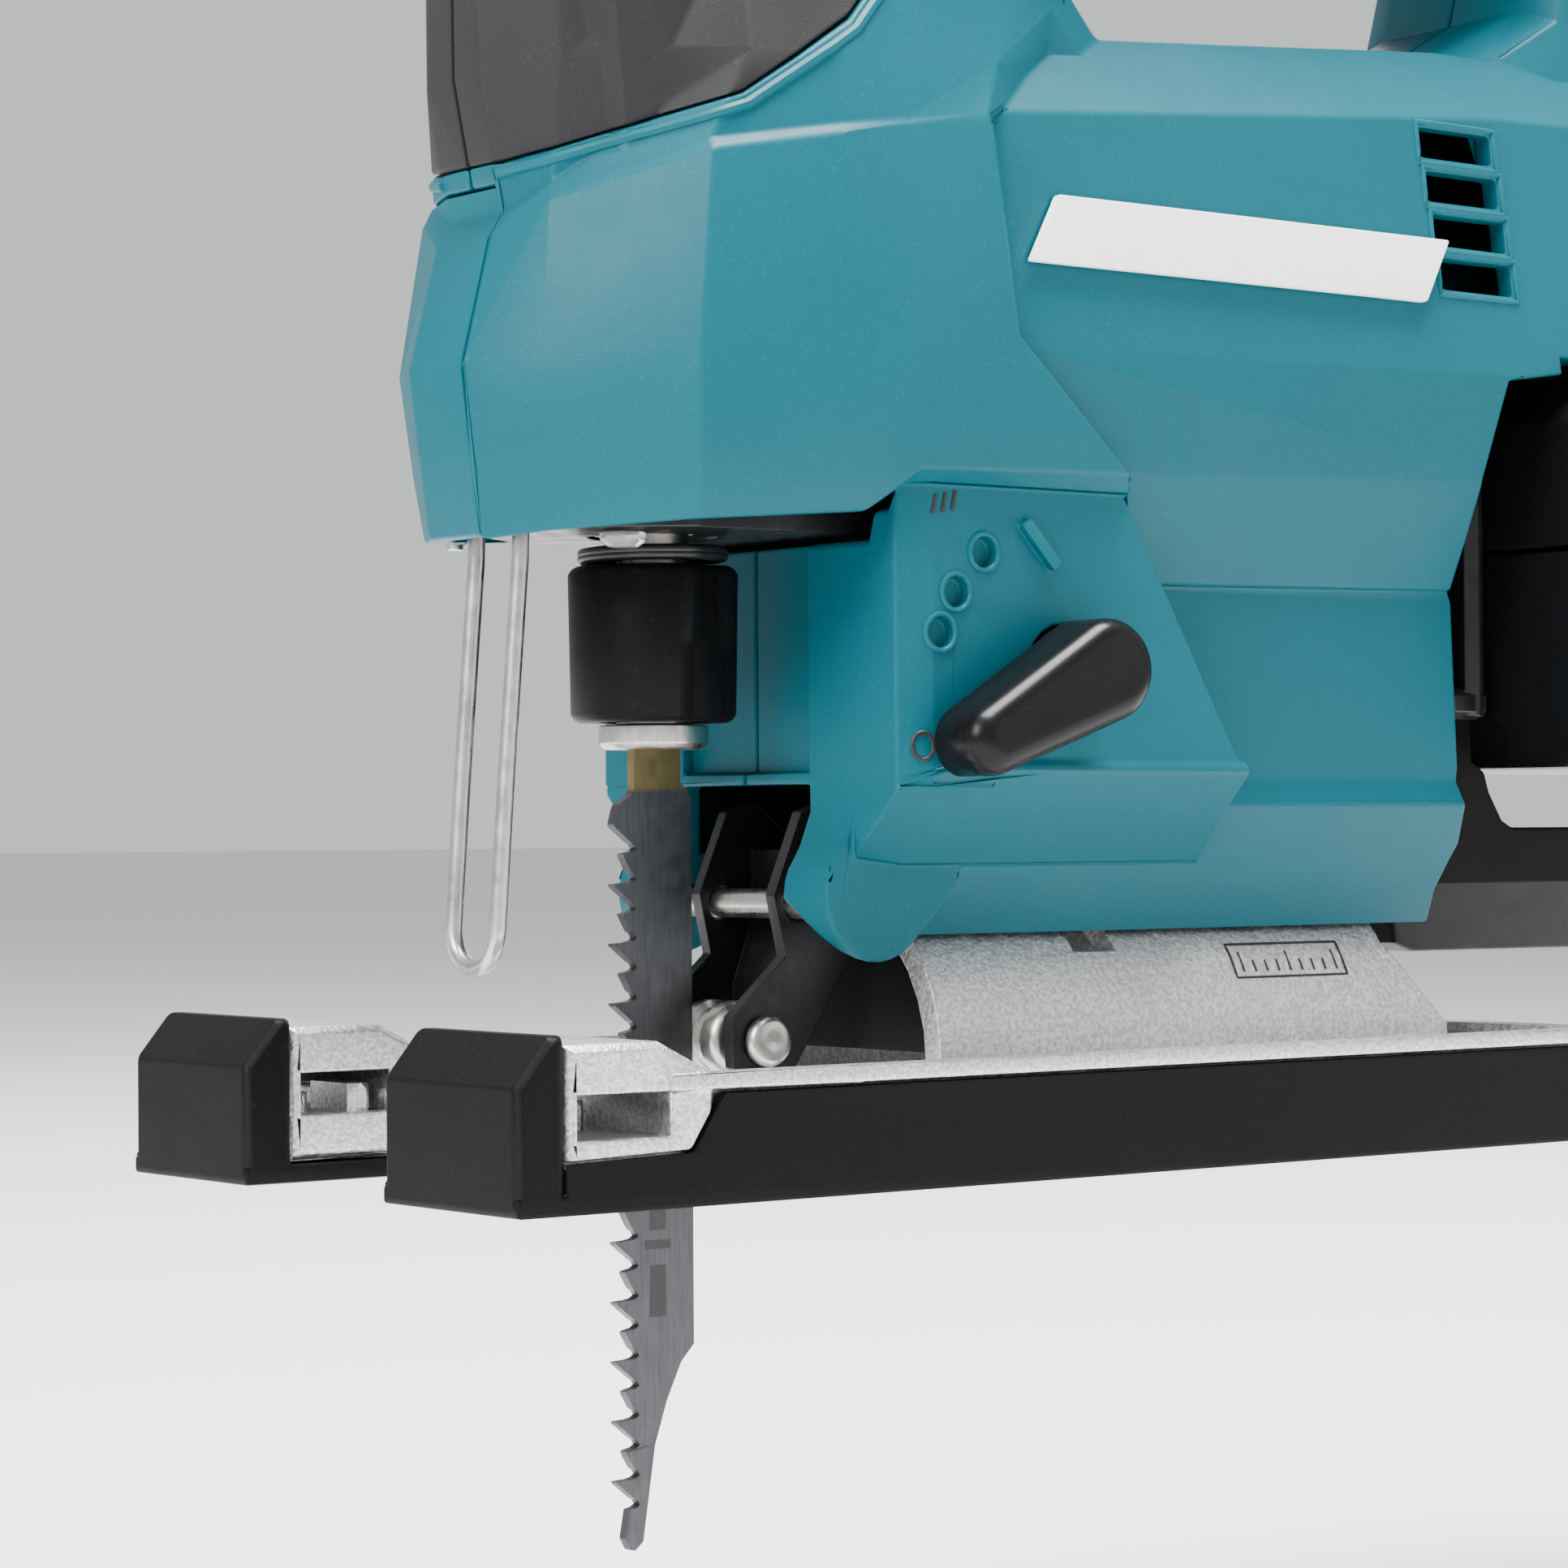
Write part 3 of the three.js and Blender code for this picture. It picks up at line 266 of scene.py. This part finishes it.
def blackened_steel():
    """Blackened steel with a painted highlight on its convex edges."""
    paint = Paint("black_steel", (0.012, 0.012, 0.0135), 0.34, metallic=0.6)
    paint.blend_colour(paint.ramp(paint.noise(0.9, 3), 0.5, 0.8, 0, 0.3), (0.03, 0.03, 0.033))
    paint.vary_roughness(paint.noise(3, 3), 0.26, 0.46)
    paint.bump(paint.noise(0.5, 2), 0.012)
    # painted highlight: convex edges drawn paler grey
    paint.painted_edge_highlight((0.1, 0.1, 0.105), 0.4)
    return paint.material


def clear_plastic():
    paint = Paint("clear_lens", (0.9, 0.93, 0.96), 0.08)
    paint.shader.inputs["Transmission Weight"].default_value = 0.85
    paint.shader.inputs["IOR"].default_value = 1.49
    paint.bump(paint.noise(0.8, 2), 0.01)
    return paint.material


def board_lacquer():
    paint = Paint("circuit_board", (0.02, 0.14, 0.05), 0.35)
    paint.blend_colour(paint.ramp(paint.noise(1.2, 1), 0.6, 0.62, 0, 0.6), (0.35, 0.25, 0.08))
    paint.bump(paint.noise(1.2, 1), 0.05)
    return paint.material


TEAL = moulded_plastic("teal_housing", (0.0, 0.078, 0.106), 0.42, 0.28, 0.018, (0.0002, 0.09, 0.12),
                       (0.003, 0.14, 0.175), 0.17)
BLACK = moulded_plastic("satin_black", (0.003, 0.003, 0.0033), 0.46, 0.3, 0.02, (0.004, 0.004, 0.0045),
                        (0.016, 0.016, 0.018), 0.07)
GLOSS = moulded_plastic("gloss_black", (0.003, 0.003, 0.0033), 0.27, 0.8, 0.008, (0.004, 0.004, 0.0044),
                        (0.014, 0.014, 0.016), 0.15)
WHITE = moulded_plastic("white_badge", (0.92, 0.92, 0.91), 0.4, 0.35, 0.012, (0.88, 0.88, 0.87),
                        (0.95, 0.95, 0.94))
SOFT = soft_rubber()
CAST = cast_metal()
STEEL = ground_steel("bright_steel", (0.56, 0.54, 0.51), 0.3, (1, 1, 0.12))
BRONZE = ground_steel("bronze", (0.45, 0.30, 0.14), 0.4, (1, 1, 0.2))
COPPER = ground_steel("copper_winding", (0.50, 0.22, 0.10), 0.35, (1, 0.1, 1))
BLADE = blade_metal()
BLACK_STEEL = blackened_steel()
LENS = clear_plastic()
BOARD = board_lacquer()
INK = moulded_plastic("dark_ink", (0.008, 0.008, 0.009), 0.5, 0.4, 0.005, (0.04, 0.04, 0.042),
                      (0.06, 0.06, 0.062))

SLOT_MATERIALS = {
    "housing_plastic": TEAL, "soft_grip": SOFT, "black_plastic": BLACK, "battery_plastic": GLOSS,
    "cast_alloy": CAST, "bright_steel": STEEL, "black_steel": BLACK_STEEL, "blade_steel": BLADE,
    "bronze": BRONZE, "copper_winding": COPPER, "clear_lens": LENS, "white_plastic": WHITE,
    "circuit_board": BOARD,
}
NODE_MATERIALS = {"gear_housing": BLACK_STEEL}     # painted darker than the rest of its slot


# ---------------------------------------------------------------- edges and smooth shading
EDGE_MM = {"housing_plastic": 0.45, "soft_grip": 0.5, "black_plastic": 0.45, "battery_plastic": 0.7,
           "cast_alloy": 0.35, "black_steel": 0.2, "blade_steel": 0.1, "bright_steel": 0.2}
OTHER_EDGE_MM = 0.3
WELD_MM = 0.2
ROUNDED_ABOVE_DEG = 24
SHARP_ABOVE_DEG = 38
STRAY_SHARE = 0.6                      # of the edge's width, how far a rounded point may leave the surface
GUARD_SURFACE, GUARD_LIMIT = "Socket_2", "Socket_3"    # the guard group's own two inputs


def modifier_group(name):
    """An empty geometry node group with its input and output."""
    group = bpy.data.node_groups.new(name, "GeometryNodeTree")
    group.interface.new_socket("Geometry", in_out="INPUT", socket_type="NodeSocketGeometry")
    group.interface.new_socket("Geometry", in_out="OUTPUT", socket_type="NodeSocketGeometry")
    return group, group.nodes.new("NodeGroupInput"), group.nodes.new("NodeGroupOutput")


def guard_group():
    """Geometry nodes that put points back on the CAD surface when the rounding threw them off it."""
    group, start, end = modifier_group("stay_on_surface")
    group.interface.new_socket("Surface", in_out="INPUT", socket_type="NodeSocketObject")
    group.interface.new_socket("Limit", in_out="INPUT", socket_type="NodeSocketFloat")
    surface = group.nodes.new("GeometryNodeObjectInfo")
    nearest = group.nodes.new("GeometryNodeProximity")
    test = group.nodes.new("FunctionNodeCompare")
    test.operation = "GREATER_THAN"
    move = group.nodes.new("GeometryNodeSetPosition")
    group.links.new(start.outputs["Surface"], surface.inputs["Object"])
    group.links.new(surface.outputs["Geometry"], nearest.inputs[0])
    group.links.new(nearest.outputs["Distance"], test.inputs[0])
    group.links.new(start.outputs["Limit"], test.inputs[1])
    group.links.new(start.outputs["Geometry"], move.inputs["Geometry"])
    group.links.new(test.outputs[0], move.inputs["Selection"])
    group.links.new(nearest.outputs["Position"], move.inputs["Position"])
    group.links.new(move.outputs[0], end.inputs[0])
    return group


def crease_group(limit_deg):
    """Geometry nodes that shade smoothly but keep edges steeper than the limit sharp."""
    group, start, end = modifier_group("keep_creases")
    angle = group.nodes.new("GeometryNodeInputMeshEdgeAngle")
    test = group.nodes.new("FunctionNodeCompare")
    test.operation = "LESS_EQUAL"
    test.inputs[1].default_value = math.radians(limit_deg)
    shade = group.nodes.new("GeometryNodeSetShadeSmooth")
    shade.domain = "EDGE"
    group.links.new(angle.outputs["Unsigned Angle"], test.inputs[0])
    group.links.new(start.outputs[0], shade.inputs["Geometry"])
    group.links.new(test.outputs[0], shade.inputs["Shade Smooth"])
    group.links.new(shade.outputs[0], end.inputs[0])
    return group


CREASES = crease_group(SHARP_ABOVE_DEG)
GUARD = guard_group()


def soften(piece, width_mm):
    """Rounds the sharp edges of a CAD node and shades the result smoothly."""
    weld = piece.modifiers.new("weld", "WELD")
    weld.merge_threshold = WELD_MM * MM
    round_edges = piece.modifiers.new("round", "BEVEL")
    round_edges.width = width_mm * MM
    round_edges.segments = 2
    round_edges.limit_method = "ANGLE"
    round_edges.angle_limit = math.radians(ROUNDED_ABOVE_DEG)
    round_edges.use_clamp_overlap = False
    guard = piece.modifiers.new("guard", "NODES")
    guard.node_group = GUARD
    guard[GUARD_SURFACE] = bpy.data.objects.new(piece.name + "_surface", piece.data)
    guard[GUARD_LIMIT] = STRAY_SHARE * width_mm * MM
    for polygon in piece.data.polygons:
        polygon.use_smooth = True
    piece.modifiers.new("creases", "NODES").node_group = CREASES
    weighted = piece.modifiers.new("weighted", "WEIGHTED_NORMAL")
    weighted.keep_sharp = True


def finish_cad_nodes():
    slots = {row["node"]: row["material_slot"] for row in frame["record"]["subparts"]}
    for name, piece in frame["nodes"].items():
        slot = slots[name]
        piece.data.materials.clear()
        piece.data.materials.append(NODE_MATERIALS.get(name, SLOT_MATERIALS[slot]))
        soften(piece, EDGE_MM.get(slot, OTHER_EDGE_MM))


# ---------------------------------------------------------------- shape kit, sizes in mm
PATH_STEP = 1.5                        # longest step between the points of a bead


def add_piece(name, shape, slot, body, replaced=(), material=None, crease_deg=40):
    """Makes a mesh from points in mm and faces, gives it its finish and ties it to a body."""
    points, faces = shape
    mesh = bpy.data.meshes.new(name)
    mesh.from_pydata([Vector(point) * MM for point in points], [], faces)
    work = bmesh.new()
    work.from_mesh(mesh)
    bmesh.ops.recalc_face_normals(work, faces=work.faces)
    work.to_mesh(mesh)
    work.free()
    piece = bpy.data.objects.new(name, mesh)
    bpy.context.scene.collection.objects.link(piece)
    mesh.materials.append(material or SLOT_MATERIALS[slot])
    for polygon in mesh.polygons:
        polygon.use_smooth = True
    mesh.set_sharp_from_angle(angle=math.radians(crease_deg))
    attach(piece, body)
    if replaced:
        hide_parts(*replaced)


def skin(rings, closed=False):
    """A surface through rings of equal length; open ends are capped."""
    count = len(rings[0])
    points = [point for ring in rings for point in ring]
    faces = []
    for level in range(len(rings) if closed else len(rings) - 1):
        low, high = level * count, (level + 1) % len(rings) * count
        for k in range(count):
            after = (k + 1) % count
            faces.append((low + k, low + after, high + after, high + k))
    if not closed:
        faces += [tuple(range(count)), tuple(range(len(points) - count, len(points)))]
    return points, faces


def joined(*shapes):
    """Several shapes as one."""
    points, faces = [], []
    for more_points, more_faces in shapes:
        faces += [tuple(len(points) + k for k in face) for face in more_faces]
        points += more_points
    return points, faces


def circle(axis, centre, radius, along, sides):
    """Points round an axis; the centre is given across it, in the order x, y, z."""
    ring = []
    for k in range(sides):
        angle = 2 * math.pi * k / sides
        a, b = centre[0] + radius * math.cos(angle), centre[1] + radius * math.sin(angle)
        ring.append({"x": (along, a, b), "y": (a, along, b), "z": (a, b, along)}[axis])
    return ring


def lathe(axis, centre, profile, sides, closed=False):
    """A turned shape from (radius, position along the axis) steps."""
    return skin([circle(axis, centre, radius, along, sides) for radius, along in profile], closed)


def tube(path, radius, sides, closed=False):
    """A round bar along a path."""
    path = [Vector(point) for point in path]
    rings = []
    normal = None
    for k, here in enumerate(path):
        before = path[k - 1] if k or closed else here
        after = path[(k + 1) % len(path)] if k + 1 < len(path) or closed else here
        along = (after - before).normalized()
        normal = normal or along.orthogonal()
        normal = (normal - along * normal.dot(along)).normalized()
        side = along.cross(normal)
        turns = [2 * math.pi * t / sides for t in range(sides)]
        rings.append([tuple(here + (normal * math.cos(t) + side * math.sin(t)) * radius) for t in turns])
    return skin(rings, closed)


def resampled(path, closed=False):
    """The same path with points no further apart than PATH_STEP."""
    points = []
    for start, end in zip(path, path[1:] + path[:1] if closed else path[1:]):
        start, end = Vector(start), Vector(end)
        count = max(1, math.ceil((end - start).length / PATH_STEP))
        points += [tuple(start.lerp(end, k / count)) for k in range(count)]
    return points if closed else points + [tuple(path[-1])]


def dropper(*names):
    """A function that drops a point in mm onto these CAD nodes, along a direction."""
    points, faces = [], []
    for name in names:
        node = frame["nodes"][name]
        faces += [[len(points) + k for k in polygon.vertices] for polygon in node.data.polygons]
        points += [node.matrix_world @ vertex.co for vertex in node.data.vertices]
    tree = BVHTree.FromPolygons(points, faces)

    def drop(start, direction, lift=0.0):
        hit, normal, _, _ = tree.ray_cast(Vector(start) * MM, Vector(direction).normalized())
        return hit and tuple((hit + normal * lift * MM) / MM)
    return drop


def ellipse(x, z, across, high, count):
    """(x, z) points round a centre."""
    turns = [2 * math.pi * k / count for k in range(count)]
    return [(x + across * math.cos(t), z + high * math.sin(t)) for t in turns]


def side_bead(drop, path, side, radius, sink=0.3, closed=False):
    """A bead along (x, z) points, laid on the side of the housing."""
    flat = resampled([(x, z, 0) for x, z in path], closed)
    laid = [drop((x, side * 80, z), (0, -side, 0), -radius * sink) for x, z, _ in flat]
    return tube([point for point in laid if point], radius, 8, closed)


# ---------------------------------------------------------------- blade and its clamp
BLADE_X = -38.1                        # axis of the plunger, across X
VIEW_TURN = math.degrees(math.atan2(-0.79, -0.613)) % 360      # back along the camera's view
SLEEVE_TURN = VIEW_TURN - 40           # middle of one raised face of the clamp's sleeve
SLEEVE_LOW_R, SLEEVE_HIGH_R = 8.6, 9.6
SLEEVE_TOP = 67.9
FLANK_DEG = 13


def clamp_collar():
    """Turning sleeve of the blade clamp: two broad raised faces with sloping flanks."""
    sides = 120

    def radius(angle, z, edge):
        off = abs((angle - SLEEVE_TURN + 180) % 360 - 180)
        off = min(off, abs((angle - SLEEVE_TURN) % 360 - 180))
        lift = min(1.0, max(0.0, (edge + FLANK_DEG - off) / FLANK_DEG))
        outer = SLEEVE_HIGH_R - 0.3 * (SLEEVE_TOP - z) / 17.5
        return SLEEVE_LOW_R + (outer - SLEEVE_LOW_R) * lift

    def ring(z, edge, inset):
        turns = [360 * k / sides for k in range(sides)]
        return [(BLADE_X + (radius(t, z, edge) - inset) * math.cos(math.radians(t)),
                 (radius(t, z, edge) - inset) * math.sin(math.radians(t)), z) for t in turns]

    levels = [(50.4, 60, 0.9), (50.7, 60, 0.4), (51.3, 60, 0), (58.7, 60, 0), (59.3, 69, 0), (67.0, 69, 0),
              (67.6, 69, 0.4), (SLEEVE_TOP, 69, 0.9)]
    rings = [ring(z, edge, inset) for z, edge, inset in levels]
    rings += [circle("z", (BLADE_X, 0), 5.2, z, sides) for z in (SLEEVE_TOP, 67.4)]
    rings += [circle("z", (BLADE_X, 0), 4.9, z, sides) for z in (67.0, 50.9)]
    rings += [circle("z", (BLADE_X, 0), 5.4, 50.4, sides)]
    add_piece("clamp_collar_sleeve", skin(rings, closed=True), "black_plastic", "collar", ["clamp_collar"])


def clamp_spring():
    """Torsion spring of the blade clamp: two turns of round wire."""
    radius, low, rise = 7.9, 68.6, 1.1
    steps, per_turn = 96, 48
    path = []
    for k in range(steps + 1):
        angle = math.radians(VIEW_TURN + 150 + 360 * k / per_turn)
        path.append((BLADE_X + radius * math.cos(angle), radius * math.sin(angle), low + rise * k / steps))
    add_piece("clamp_spring_coil", tube(path, 0.62, 10), "black_steel", "plunger", ["clamp_spring"])


TOOTH_PITCH = 3.33
TOOTH_SET = 0.32                       # how far each tooth leans to its side
TEETH_TOP = 39.0
BLADE_TIP_Z = -42.15
BLADE_BACK_X = -33.4
BLADE_BAR_X = -38.4


def blade_outline():
    """(x, z, lean) round the blade, from the shank down the toothed edge and back up."""
    points = [(-41.3, 58, 0), (-41.3, 42.9, 0), (-41.6, 42.4, 0), (-43.4, 41.2, 0), (-43.7, 40.6, 0)]
    for k in range(int((TEETH_TOP - BLADE_TIP_Z - 3) / TOOTH_PITCH)):
        z = TEETH_TOP - k * TOOTH_PITCH
        tip, lean = (-43.1, -TOOTH_SET) if k % 2 else (-43.9, TOOTH_SET)
        points += [(tip, z, lean), (tip + 0.1, z - 0.28, lean), (-41.9, z - 1.9, lean * 0.2),
                   (-41.3, z - 2.3, 0), (-41.05, z - 2.75, 0), (-41.5, z - 3.05, 0),
                   (-42.4, z - TOOTH_PITCH + 0.12, 0)]
    points += [(-43.0, BLADE_TIP_Z + 1.5, 0), (-42.3, BLADE_TIP_Z + 0.2, 0), (-41.7, BLADE_TIP_Z + 0.1, 0),
               (-40.6, BLADE_TIP_Z + 1, 0), (-38.9, -30.5, 0), (-37.2, -25.6, 0), (-35.2, -21.5, 0),
               (BLADE_BACK_X, -19.6, 0), (BLADE_BACK_X, 41.9, 0), (-33.8, 42.8, 0), (-34.9, 43.6, 0),
               (-34.9, 58, 0)]
    return points


def jigsaw_blade():
    """The blade with its set teeth, and plain dark bars in place of the print on its left side."""
    outline = blade_outline()
    sides = [[(x, half + lean, z) for x, z, lean in outline] for half in (-0.65, 0.65)]
    add_piece("saw_blade", skin(sides), "blade_steel", "plunger", ["jigsaw_blade"], crease_deg=25)
    bars = []
    for low, high, wide in ((-6.5, -1.2, 2.2), (-8.6, -7.6, 3.6), (-16.2, -10.4, 2.2)):
        left, right = BLADE_BAR_X - wide / 2, BLADE_BAR_X + wide / 2
        corners = ((left, low), (right, low), (right, high), (left, high))
        bars.append(skin([[(x, y, z) for x, z in corners] for y in (-0.67, -0.6)]))
    add_piece("saw_blade_marks", joined(*bars), "black_steel", "plunger", material=INK)


# ---------------------------------------------------------------- retainer, roller and guard wire
ROLLER_AXIS = (-28.6, 14.6)


def blade_roller():
    """Grooved roller behind the blade; its second half mirrors the first."""
    half = [(1.7, -4.2), (3.6, -4.2), (4.2, -3.7), (4.4, -3.1), (4.4, -1.5), (3.7, -0.9)]
    profile = half + [(radius, -along) for radius, along in reversed(half)]
    add_piece("grooved_roller", lathe("y", ROLLER_AXIS, profile, 48, closed=True), "bright_steel", "roller",
              ["blade_roller"])


def roller_pin():
    """The roller's pin, with a dimpled head on the left and a smaller head on the right."""
    profile = [(0.01, -9.35), (0.9, -9.6), (2.1, -9.6), (2.65, -9.3), (2.9, -8.8), (2.9, -8.1), (1.4, -8.05),
               (1.4, 8.05), (2.2, 8.1), (2.2, 8.8), (1.9, 9.1), (0.01, 9.1)]
    add_piece("riveted_roller_pin", lathe("y", ROLLER_AXIS, profile, 36), "bright_steel", "retainer",
              ["roller_pin"])


def guard_wire():
    """Wire loop hanging in front of the blade, with a round foot."""
    half, foot, steps = 4.3, 27.7, 20
    down = [(-58.8, 75.4), (-59, 68), (-61, 44), (-62.2, foot)]
    turns = [math.pi * k / steps for k in range(1, steps)]
    arc = [(-62.25, -half * math.cos(t), foot - half * math.sin(t)) for t in turns]
    path = [(x, -half, z) for x, z in down] + arc + [(x, half, z) for x, z in reversed(down)]
    add_piece("bent_guard_wire", tube(path, 0.95, 20), "bright_steel", "housing", ["guard_wire"])


# ---------------------------------------------------------------- orbital lever and its dial
LEVER_AXIS = (-1.7, 55.8)
LEVER_TIP = (-18.6, 47.9)
DETENTS = ((-13.5, 68.9), (-17.6, 64.4), (-19.8, 59.9))


def capsule(big, small, y):
    """A tapered capsule between the lever's axis and its tip, at one depth."""
    (x0, z0), (x1, z1) = LEVER_AXIS, LEVER_TIP
    reach = math.hypot(x1 - x0, z1 - z0)
    lie = math.atan2(z1 - z0, x1 - x0)
    spread = math.acos((big - small) / reach)
    ring = []
    for k in range(29):
        angle = lie + spread + (2 * math.pi - 2 * spread) * k / 28
        ring.append((x0 + big * math.cos(angle), y, z0 + big * math.sin(angle)))
    for k in range(21):
        angle = lie - spread + 2 * spread * k / 20
        ring.append((x1 + small * math.cos(angle), y, z1 + small * math.sin(angle)))
    return ring


def orbital_lever():
    """Lever with rounded outer edges, its hub and the flat-sided cam inside the housing."""
    front, back, rounding = -38.2, -30.2, 2.6
    steps = [math.pi / 2 * k / 7 for k in range(8)]
    rings = [capsule(5.5, 3.6, back), capsule(5.8, 3.9, back - 0.4)]
    rings += [capsule(5.8 - rounding * (1 - math.cos(t)), 3.9 - rounding * (1 - math.cos(t)),
                      front + rounding * (1 - math.sin(t))) for t in steps]
    hub = lathe("y", LEVER_AXIS, [(0.01, -31), (5, -31), (5, -26), (4.4, -26), (4.4, -12), (0.01, -12)], 32)
    corners = ((-4.1, 51.4), (2.7, 51.4), (2.7, 60.2), (-4.1, 60.2))
    cam = skin([[(x, y, z) for x, z in corners] for y in (-13.9, -4)])
    add_piece("orbit_selector", joined(skin(rings), hub, cam), "battery_plastic", "lever", ["orbital_lever"])


def dial_marks(drop):
    """Rims round the lever's detents, and the marks for no swing and full swing."""
    def laid(ring, radius):
        return tube([drop((x, -80, z), (0, 1, 0)) for x, z in ring], radius, 8, closed=True)

    rims = [laid(ellipse(x, z, 2.05, 2.05, 24), 0.34) for x, z in DETENTS]
    add_piece("detent_rims", joined(*rims), "housing_plastic", "housing")
    marks = [side_bead(drop, [(x, 72.9 + 0.25 * k), (x + 0.5, 75 + 0.25 * k)], -1, 0.3, 0.1)
             for k, x in enumerate((-20.9, -19.5, -18.1))]
    marks.append(laid(ellipse(-22.2, 47.4, 1.25, 1.5, 20), 0.28))
    add_piece("swing_marks", joined(*marks), "black_plastic", "housing", material=INK)


# ---------------------------------------------------------------- beads and frames on the housing
GRIP_EDGE = [(-62.5, 109.3), (-43.2, 116.2), (-29.2, 125.6), (-13.2, 141.6), (4.4, 154.4)]


def housing_beads(drops):
    """A bead along the grip's edge and a frame round each vent, on both sides."""
    for word, side in (("left", -1), ("right", 1)):
        drop = drops[side]
        add_piece(f"grip_bead_{word}", side_bead(drop, GRIP_EDGE, side, 0.7), "housing_plastic", "housing")
        frames = []
        for k in range(4):
            x, z = 57.4 + k * 0.5, 119.0 - k * 5.4
            frames.append(side_bead(drop, [(x, z), (x + 13.7, z), (x + 13.7, z + 5), (x, z + 5)], side, 0.42,
                                    closed=True))
        add_piece(f"vent_frames_{word}", joined(*frames), "housing_plastic", "housing")


SADDLE_R = 21.3
TILT_AXIS_Z = 12


def saddle_scale():
    """Tilt scale on both flanks of the saddle: a thin frame and graduations."""
    def on_saddle(x, angle):
        turn = math.radians(angle)
        return (x, SADDLE_R * math.sin(turn), TILT_AXIS_Z + SADDLE_R * math.cos(turn))

    shapes = []
    for side in (-1, 1):
        corners = [(33.5, 55), (52, 55), (52, 67), (33.5, 67)]
        flat = resampled([(x, a, 0) for x, a in corners], closed=True)
        shapes.append(tube([on_saddle(x, side * a) for x, a, _ in flat], 0.16, 8, closed=True))
        for k in range(9):
            reach = 61 if k % 4 else 58
            shapes.append(tube([on_saddle(35 + k * 1.95, side * a) for a in (65, 63, reach)], 0.14, 6))
    add_piece("tilt_scale", joined(*shapes), "black_steel", "base")


def prong_bridges():
    """Cast lumps in the guide windows of the base: a chamfered bridge and a stop at each side."""
    shapes = []
    for side in (-1, 1):
        for low, high, depth, base, top in ((-68.2, -65.4, 20.5, 7.2, 10.4), (-74.6, -72.2, 22.5, 7.2, 9.6)):
            rings = []
            for inset, across in ((0.7, depth - 4.2), (0, depth - 3.6), (0, depth + 4.2), (0.7, depth + 4.8)):
                left, right, y = low + inset, high - inset, side * across
                rings.append([(left, y, base), (right, y, base), (right, y, top - inset),
                              (right - 0.6, y, top), (left + 0.6, y, top), (left, y, top - inset)])
            shapes.append(skin(rings))
    add_piece("prong_bridges", joined(*shapes), "cast_alloy", "base")


def saddle_shield():
    """Black shield closing the front of the saddle behind the blade retainer."""
    rings = []
    for x, inset in ((-12.4, 0.4), (-12.0, 0), (-10.6, 0), (-10.2, 0.4)):
        turns = [math.radians(8 + 164 * k / 30) for k in range(31)]
        rings.append([(x, (17.9 - inset) * math.cos(t), 10.6 + (17.9 - inset) * math.sin(t)) for t in turns])
    add_piece("saddle_shield", skin(rings), "black_plastic", "base")


def build_pieces():
    clamp_collar()
    clamp_spring()
    jigsaw_blade()
    blade_roller()
    roller_pin()
    guard_wire()
    orbital_lever()
    drops = {-1: dropper("housing_left"), 1: dropper("housing_right", "tool_opener")}
    dial_marks(drops[-1])
    housing_beads(drops)
    saddle_scale()
    prong_bridges()
    saddle_shield()


studio()
finish_cad_nodes()
build_pieces()
